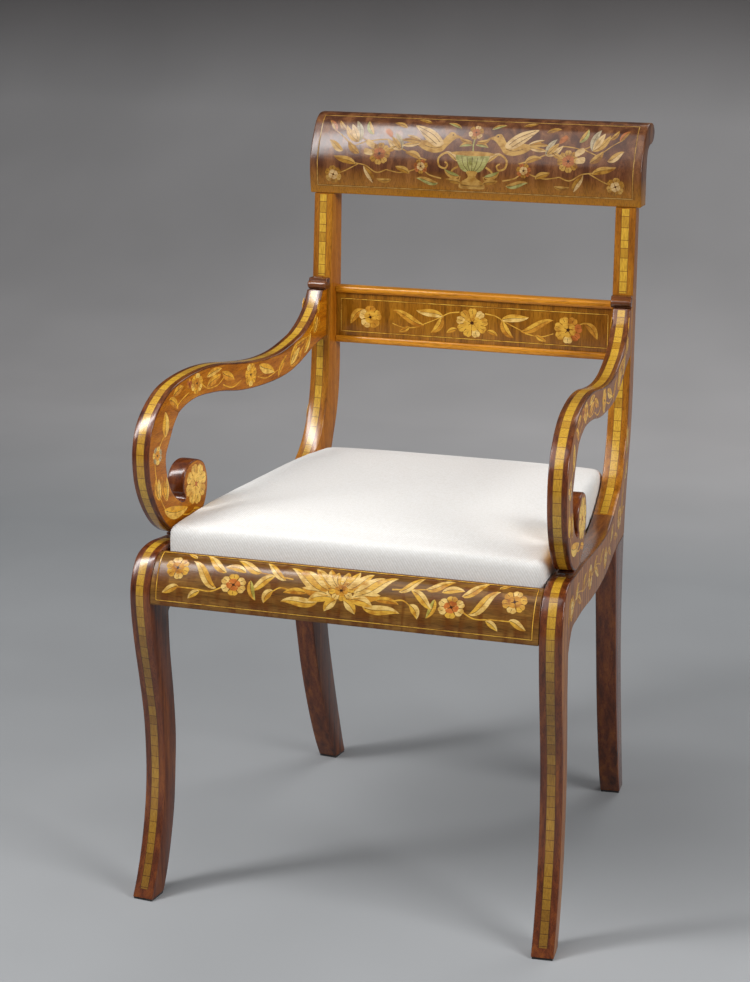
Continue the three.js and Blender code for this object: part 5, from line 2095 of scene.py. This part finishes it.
@dataclass
class DropInSeat:
    """The loose seat: its white cushion, its webbing, and the cloths over and under its frame."""

    finishes: Finishes
    rails: CrossRails
    sizes: Sizes = SIZES
    play: float = 2.0
    bar: float = 19.0
    cloth: float = 0.8
    webbing: float = 1.5
    cover: float = 1.2
    wall: float = 37.0
    shoulder: float = 9.0
    crown: float = 10.0
    front_corner: float = 9.0
    rear_corner: float = 16.0
    side_lift: float = 7.0
    end_lift: float = 2.5
    lift_height: float = 18.0
    tacked_above: float = 3.0
    cap: float = 5.0
    voxel: float = 5.0
    pressure: float = 7.0
    stiffness: float = 6.0
    bending: float = 0.5
    frames: int = 20
    evening: int = 14
    room: float = 1.0
    front_room: float = 1.2
    strap_width: float = 50.0
    strap_pitch: float = 88.0
    strap_thickness: float = 0.6
    strap_end: float = 14.0
    strap_ramp: float = 12.0
    strap_gap: float = 0.2

    def __post_init__(self) -> None:
        """Works out the seat's place between the rails."""
        self.front = self.rails.lip_back + self.play
        self.rear = self.rails.rear_lip_front - self.play
        self.dust_bottom = self.rails.ledge + self.sizes.fit
        self.bar_bottom = self.dust_bottom + self.cloth + self.sizes.fit
        self.bar_top = self.bar_bottom + self.bar
        self.webbing_bottom = self.bar_top + self.sizes.fit
        self.hessian_bottom = self.webbing_bottom + self.webbing + self.sizes.fit

    def half_width(self, y: float, inset: float) -> float:
        """Distance of the seat's side from the middle, at a depth Y."""
        return self.sizes.inner_x(y) - self.play - inset

    def plan(self, inset: float, edge_steps: int = 24, corner_steps: int = 8) -> list[Flat]:
        """The seat's plan, a trapezium with round corners.

        Args:
            inset: How far it is drawn in.
            edge_steps: Pieces along each side.
            corner_steps: Pieces round each corner.

        Returns:
            The plan's points, anticlockwise from the front left corner.
        """
        front, rear = self.front + inset, self.rear - inset
        corners = [
            (-1, front, self.front_corner, 1, math.pi),
            (1, front, self.front_corner, 1, 1.5 * math.pi),
            (1, rear, self.rear_corner, -1, 0.0),
            (-1, rear, self.rear_corner, -1, 0.5 * math.pi),
        ]
        arcs = []
        for side, y, rounding, inward, start in corners:
            radius = max(rounding - inset, rounding * 0.3)
            cy = y + inward * radius
            cx = side * (self.half_width(cy, inset) - radius)
            arc = []
            for i in range(corner_steps + 1):
                angle = start + math.pi / 2 * i / corner_steps
                arc.append((cx + radius * math.cos(angle), cy + radius * math.sin(angle)))
            arcs.append(arc)
        outline: list[Flat] = []
        for arc, following in zip(arcs, [*arcs[1:], arcs[0]]):
            outline.extend(arc)
            for i in range(1, edge_steps):
                outline.append(between(arc[-1], following[0], i / edge_steps))
        return outline

    def build(self) -> None:
        """Builds the soft parts of the seat."""
        self.build_cushion()
        self.build_webbing()
        self.build_cloths()

    def ring(self, inset: float, share: float, z: float) -> list[Vector]:
        """One ring of the cushion; over the rails its sides rise more than its ends.

        Args:
            inset: How far the seat's plan is drawn in.
            share: How much of that plan the ring spans.
            z: Its height.

        Returns:
            Its points, in metres.
        """
        middle, depth = (self.front + self.rear) / 2, (self.rear - self.front) / 2
        over = min(max((z - self.sizes.seat_height) / self.lift_height, 0.0), 1.0)
        made = []
        for x, y in self.plan(inset):
            across = abs(x) / self.half_width(y, inset) * share
            along = abs(y - middle) / (depth - inset) * share
            lift = self.side_lift * across**4 * (1 - along**4)
            lift += self.end_lift * along**4 * (1 - across**4)
            spot = (x * share, middle + (y - middle) * share, z + lift * over)
            made.append(Vector(spot) * MM)
        return made

    def cushion_rings(self) -> list[list[Vector]]:
        """The cushion's rings.

        Returns:
            The rings, from the bottom of the cover up and in to near the middle.
        """
        bottom, top = self.bar_bottom, self.bar_bottom + self.wall
        rings = [self.ring(0.6, 1.0, bottom)]
        rings += [self.ring(0.0, 1.0, bottom + z) for z in (4.0, 10.0, 17.0, 24.0, 31.0)]
        for i in range(6):
            angle = math.pi / 2 * i / 5
            inset, rise = 1 - math.cos(angle), math.sin(angle)
            rings.append(self.ring(self.shoulder * inset, 1.0, top + self.shoulder * rise))
        for i in range(1, 18):
            share = 1 - i / 18
            rise = self.shoulder + self.crown * (1 - share**3)
            rings.append(self.ring(self.shoulder, share, top + rise))
        return rings

    def build_cushion(self) -> None:
        """The padded top in its white twill, swollen by a cloth simulation."""
        rings = self.cushion_rings()
        bm = bmesh.new()
        grid = [[bm.verts.new(p) for p in ring] for ring in rings]
        skin(bm, grid)
        count = len(grid[0])
        top = bm.verts.new(sum(rings[-1], Vector()) / count + Vector((0, 0, 0.02)) * MM)
        for i in range(count):
            bm.faces.new((grid[-1][i], grid[-1][(i + 1) % count], top))
        bm.faces.new(grid[0][::-1])
        bmesh.ops.triangulate(bm, faces=[f for f in bm.faces if len(f.verts) > 4])
        piece = to_object(bm, "seat_cushion", [self.finishes.twill])
        self.swell(piece)
        held_by(piece, SEAT_BODY, "white_twill", "seat_cover", "seat_stuffing")

    def swell(self, piece: Piece) -> None:
        """Swells the cushion with cloth and air pressure, and caps how far any point moves.

        Args:
            piece: The cushion; its mesh is changed.
        """
        scene = bpy.context.scene
        bpy.context.view_layer.objects.active = piece
        self.settle(piece, "REMESH", mode="VOXEL", voxel_size=self.voxel * MM)
        start = [(v.co.copy(), v.normal.copy()) for v in piece.data.vertices]
        tacked = (self.sizes.seat_height + self.tacked_above) * MM
        group = piece.vertex_groups.new(name="tacked")
        for vertex in piece.data.vertices:
            if vertex.co.z < tacked:
                group.add([vertex.index], 1.0, "REPLACE")
        cloth = piece.modifiers.new("cover", "CLOTH")
        settings = cloth.settings
        settings.use_pressure = True
        settings.uniform_pressure_force = self.pressure
        settings.effector_weights.gravity = 0.0
        settings.vertex_group_mass = group.name
        settings.tension_stiffness = settings.compression_stiffness = self.stiffness
        settings.bending_stiffness = self.bending
        for step in range(1, self.frames + 1):
            scene.frame_set(step)
        bpy.ops.object.modifier_apply(modifier=cloth.name)
        scene.frame_set(1)
        swells = [
            min(max((vertex.co - before).dot(outward), 0.0), self.cap * MM)
            for vertex, (before, outward) in zip(piece.data.vertices, start)
        ]
        for _ in range(self.evening):
            swells = self.evened(piece.data, swells)
        for vertex, (before, outward), swell in zip(piece.data.vertices, start, swells):
            vertex.co = self.kept_clear(before + outward * swell)
        piece.vertex_groups.clear()
        self.settle(piece, "SMOOTH", factor=0.5, iterations=2)
        self.settle(piece, "SUBSURF", levels=1)
        piece.data.shade_smooth()

    def settle(self, piece: Piece, kind: str, **settings: float | str) -> None:
        """Changes the active piece's mesh by one modifier.

        Args:
            piece: The piece.
            kind: The modifier's type.
            settings: The modifier's own properties.
        """
        modifier = piece.modifiers.new(kind.lower(), kind)
        for name, value in settings.items():
            setattr(modifier, name, value)
        bpy.ops.object.modifier_apply(modifier=modifier.name)

    def evened(self, mesh: bpy.types.Mesh, swells: Sequence[float]) -> list[float]:
        """Spreads each point's swell over its neighbours, as stuffing under cloth does.

        Args:
            mesh: The cushion's mesh.
            swells: How far each of its points moves out.

        Returns:
            The same swells, evened.
        """
        totals, counts = list(swells), [1] * len(swells)
        for edge in mesh.edges:
            a, b = edge.vertices
            totals[a] += swells[b]
            totals[b] += swells[a]
            counts[a] += 1
            counts[b] += 1
        return [total / count for total, count in zip(totals, counts)]

    def kept_clear(self, point: Vector) -> Vector:
        """Keeps a swollen point inside the rebates of the rails, below their tops.

        Args:
            point: The point, in metres.

        Returns:
            The point, drawn back where the cover would meet a rail.
        """
        if point.z >= (self.sizes.seat_height + self.room) * MM:
            return point
        y = min(max(point.y, (self.front - self.front_room) * MM), (self.rear + self.room) * MM)
        widest = (self.half_width(y / MM, 0.0) + self.room) * MM
        return Vector((min(max(point.x, -widest), widest), y, max(point.z, self.bar_bottom * MM)))

    def cloth_sheet(
        self,
        name: str,
        node_name: str,
        slot: str,
        bottom: float,
        finish: Material,
    ) -> None:
        """A cloth with the seat's plan, stretched over the frame or under it.

        Args:
            name: The piece's name.
            node_name: The node that it stands for.
            slot: The record's material slot.
            bottom: Its lower face.
            finish: Its weave.
        """
        plan = self.plan(self.cover + self.sizes.fit, 12, 6)
        bm = bmesh.new()
        place: Place = lambda x, y, up: Vector((x, y, bottom + up)) * MM
        loft(bm, plan, self.cloth, Edge(round=0.2, steps=1, spans=1), place)
        piece = held_by(to_object(bm, name, [finish]), SEAT_BODY, slot, node_name)
        area = abs(signed_area(plan)) * MM * MM

    def build_cloths(self) -> None:
        """Hessian over the webbing, and black cloth under the frame, so that no dust falls out."""
        woven, straps = self.finishes, ["webbing_straps"]
        over, under = self.hessian_bottom, self.dust_bottom
        self.cloth_sheet("hessian_sheet", "seat_hessian", "jute", over, woven.hessian)
        self.cloth_sheet(
            "dust_cloth_sheet", "seat_dust_cloth", "dust_cloth", under, woven.calico
        )

    def build_webbing(self) -> None:
        """Straps of jute webbing, crossing over and under each other on the frame."""
        bm = bmesh.new()
        middle = (self.front + self.rear) / 2
        columns = [(i - 1.5) * self.strap_pitch for i in range(4)]
        rows = [middle + x for x in columns]
        for number, y in enumerate(rows):
            half = self.half_width(y + self.strap_width / 2, self.strap_end)
            self.strap(bm, (-half, half), y, columns, number, True)
        ends = (self.front + self.strap_end, self.rear - self.strap_end)
        for number, x in enumerate(columns):
            self.strap(bm, ends, x, rows, number + 1, False)
        piece = to_object(bm, "webbing_straps", [self.finishes.webbing])
        held_by(piece, SEAT_BODY, "jute", "seat_webbing")

    def strap(
        self,
        bm: Mesh,
        ends: Flat,
        centre: float,
        crossings: Sequence[float],
        number: int,
        sideways: bool,
    ) -> None:
        """Adds one strap, which passes over and under the straps that it crosses.

        Args:
            bm: The mesh that gets the strap.
            ends: Where it begins and ends along its own way.
            centre: Its place across its way.
            crossings: Where the other straps' middles are.
            number: Says which crossings it passes over.
            sideways: True when it runs from side to side.
        """
        steps, half, thick = 60, self.strap_width / 2, self.strap_thickness
        section = ((-half, 0.0), (half, 0.0), (half, thick), (-half, thick))
        rows = []
        for i in range(steps + 1):
            along = ends[0] + (ends[1] - ends[0]) * i / steps
            lift = 0.0
            for k, cross in enumerate(crossings):
                beyond = max(0.0, abs(along - cross) - half)
                near = max(0.0, 1.0 - beyond / self.strap_ramp)
                if (k + number) % 2:
                    lift = max(lift, near * (thick + self.strap_gap))
            row = []
            for aside, up in section:
                x, y = (along, centre + aside) if sideways else (centre + aside, along)
                row.append(bm.verts.new(Vector((x, y, self.webbing_bottom + lift + up)) * MM))
            rows.append(row)
        skin(bm, rows)
        for row in (rows[0], rows[-1]):
            bm.faces.new(row)


# ---- carried-over nodes and the studio


class Carried:
    """Rigid nodes of the frame that keep their CAD shape and get a real finish."""

    def __init__(self, finishes: Finishes) -> None:
        """Notes which finish goes with which beginnings of a node's name.

        Args:
            finishes: The chair's finishes.
        """
        self.by_name = {
            ("arm_foot_screw", "arm_back_screw"): finishes.steel,
            ("arm_screw_plug",): finishes.mahogany,
            ("front_foot_pad", "rear_foot_pad"): finishes.pad,
            ("arm_dowel", "seat_cleat", "corner_block", "seat_frame"): finishes.beech,
        }

    def dress(self) -> None:
        """Gives each of them its finish."""
        for name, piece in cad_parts.items():
            for beginnings, finish in self.by_name.items():
                if name.startswith(beginnings):
                    for slot in piece.material_slots:
                        slot.material = finish


@dataclass(frozen=True)
class Lamp:
    """A soft box: where it hangs and what it aims at, its width and height, and its watts."""

    name: str
    place: Spot
    aim: Spot
    size: Flat
    power: float

    def hang(self) -> None:
        """Adds the lamp to the scene."""
        data = bpy.data.lights.new(self.name, "AREA")
        data.shape = "RECTANGLE"
        data.size, data.size_y = self.size
        data.energy = self.power
        lamp = bpy.data.objects.new(self.name, data)
        lamp.location = self.place
        direction = Vector(self.aim) - Vector(self.place)
        lamp.rotation_mode = "QUATERNION"
        lamp.rotation_quaternion = direction.to_track_quat("-Z", "Y")
        bpy.context.scene.collection.objects.link(lamp)


@dataclass
class Studio:
    """The floor that sweeps up behind the chair, the lamps, and the camera of the photograph."""

    place: Spot = (0.855738, -2.65638, 1.1765)
    azimuth: float = 18.873
    elevation: float = 14.639
    roll: float = 0.159
    focal_pixels: float = 2394.0
    picture_height: float = 982.0
    sensor: float = 36.0
    half_floor: float = 12.0
    floor_front: float = -14.0
    sweep_start: float = 2.2
    sweep_radius: float = 1.5
    sweep_steps: int = 12
    wall_top: float = 5.0
    # Painted light and shade on the paper, by Y plus Z in metres: brightest behind the chair, dark
    # high up.
    grading: tuple[tuple[float, str], ...] = (
        (-0.5, "#a8aaac"), (0.5, "#a0a2a4"), (1.2, "#9ea0a2"), (2.2, "#cccaca"),
        (3.3, "#b2b0b0"), (3.9, "#b0aeae"), (4.5, "#625e5d"), (6.0, "#5c5a5a"),
    )
    lamps: tuple[Lamp, ...] = (
        Lamp("key_softbox", (-1.35, -1.15, 2.05), (0.0, 0.0, 0.5), (0.4, 2.0), 36.0),
        Lamp("scrim", (-0.7, -1.3, 2.6), (0.0, 0.0, 0.5), (2.0, 2.0), 23.5),
        Lamp("fill_softbox", (2.3, -1.0, 1.8), (0.0, 0.0, 0.6), (1.2, 1.2), 43.0),
        Lamp("back_softbox", (0.8, 2.0, 2.4), (0.1, 0.3, 0.3), (1.6, 1.6), 20.0),
    )

    def build(self) -> None:
        """Builds the whole studio."""
        self.build_floor()
        for lamp in self.lamps:
            lamp.hang()
        self.build_room()
        self.build_camera()

    def build_floor(self) -> None:
        """A wide sheet of paper that lies on the floor and curves up into a backdrop."""
        paper = StudioSurface("studio_paper_pale_grey", self.grading).material()
        start, sweep, steps = self.sweep_start, self.sweep_radius, self.sweep_steps
        profile = [(self.floor_front, 0.0), (0.0, 0.0), (start, 0.0)]
        for i in range(1, steps + 1):
            angle = math.pi / 2 * i / steps
            profile.append((start + sweep * math.sin(angle), sweep * (1 - math.cos(angle))))
        profile.append((start + sweep, self.wall_top))
        bm, half = bmesh.new(), self.half_floor
        rows = [[bm.verts.new((x, y, z)) for x in (-half, 0.0, half)] for y, z in profile]
        skin(bm, rows, closed=False)
        floor = to_object(bm, "studio_floor", [paper])
        floor.data.flip_normals()
        floor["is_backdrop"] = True

    def build_room(self) -> None:
        """The pale room round the chair, which its polish mirrors as a plain grey wall."""
        world = bpy.data.worlds.new("studio_room")
        world.use_nodes = True
        tree = world.node_tree
        tree.nodes.clear()
        place = node(tree, "SeparateXYZ", {0: (node(tree, "TexCoord"), "Generated")})
        tones = [(0.0, "#4c4c4e"), (0.25, "#9a9b9e"), (0.8, "#d0d2d6")]
        shade = node(tree, "ValToRGB", {"Fac": (place, "Z")}, tones)
        room = node(tree, "Background", {"Color": shade, "Strength": 0.32})
        wall = node(tree, "Background", {"Color": linear("#7a7b7e"), "Strength": 1.0})
        path = node(tree, "LightPath")
        rays = {0: (path, "Is Camera Ray"), 1: (path, "Is Glossy Ray")}
        straight = node(tree, "Math", rays, operation="MAXIMUM")
        shown = node(tree, "MixShader", {0: straight, 1: room, 2: wall})
        node(tree, "OutputWorld", {"Surface": shown})
        bpy.context.scene.world = world

    def build_camera(self) -> None:
        """The camera of the photograph."""
        azimuth, elevation, roll = map(math.radians, (self.azimuth, self.elevation, self.roll))
        turn = Matrix.Rotation(azimuth, 4, "Z") @ Matrix.Rotation(math.pi / 2 - elevation, 4, "X")
        data = bpy.data.cameras.new("photograph_camera")
        data.sensor_fit = "AUTO"
        data.sensor_width = self.sensor
        data.lens = self.focal_pixels / self.picture_height * self.sensor
        camera = bpy.data.objects.new("photograph_camera", data)
        placed = Matrix.Translation(Vector(self.place)) @ turn
        camera.matrix_world = placed @ Matrix.Rotation(roll, 4, "Z")
        bpy.context.scene.collection.objects.link(camera)
        bpy.context.scene.camera = camera


# ---- the whole chair


def corners() -> list[list[float]]:
    """The lowest and highest corner of the shown object, as plain lists."""
    return [list(corner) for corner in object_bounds()]


def main() -> None:
    """Builds and dresses the chair, and sets up the studio."""
    logging.basicConfig(level=logging.INFO, format="%(name)s %(message)s")
    bpy.context.scene.view_settings.view_transform = "Standard"
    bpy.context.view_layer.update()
    finishes = Finishes()
    for hand in Hand:
        SideFrame(hand, finishes).build()
    rails = CrossRails(finishes)
    rails.build()
    Marquetry(finishes, rails).build()
    DropInSeat(finishes, rails).build()
    Carried(finishes).dress()
    Studio().build()


if __name__ == "__main__":
    main()
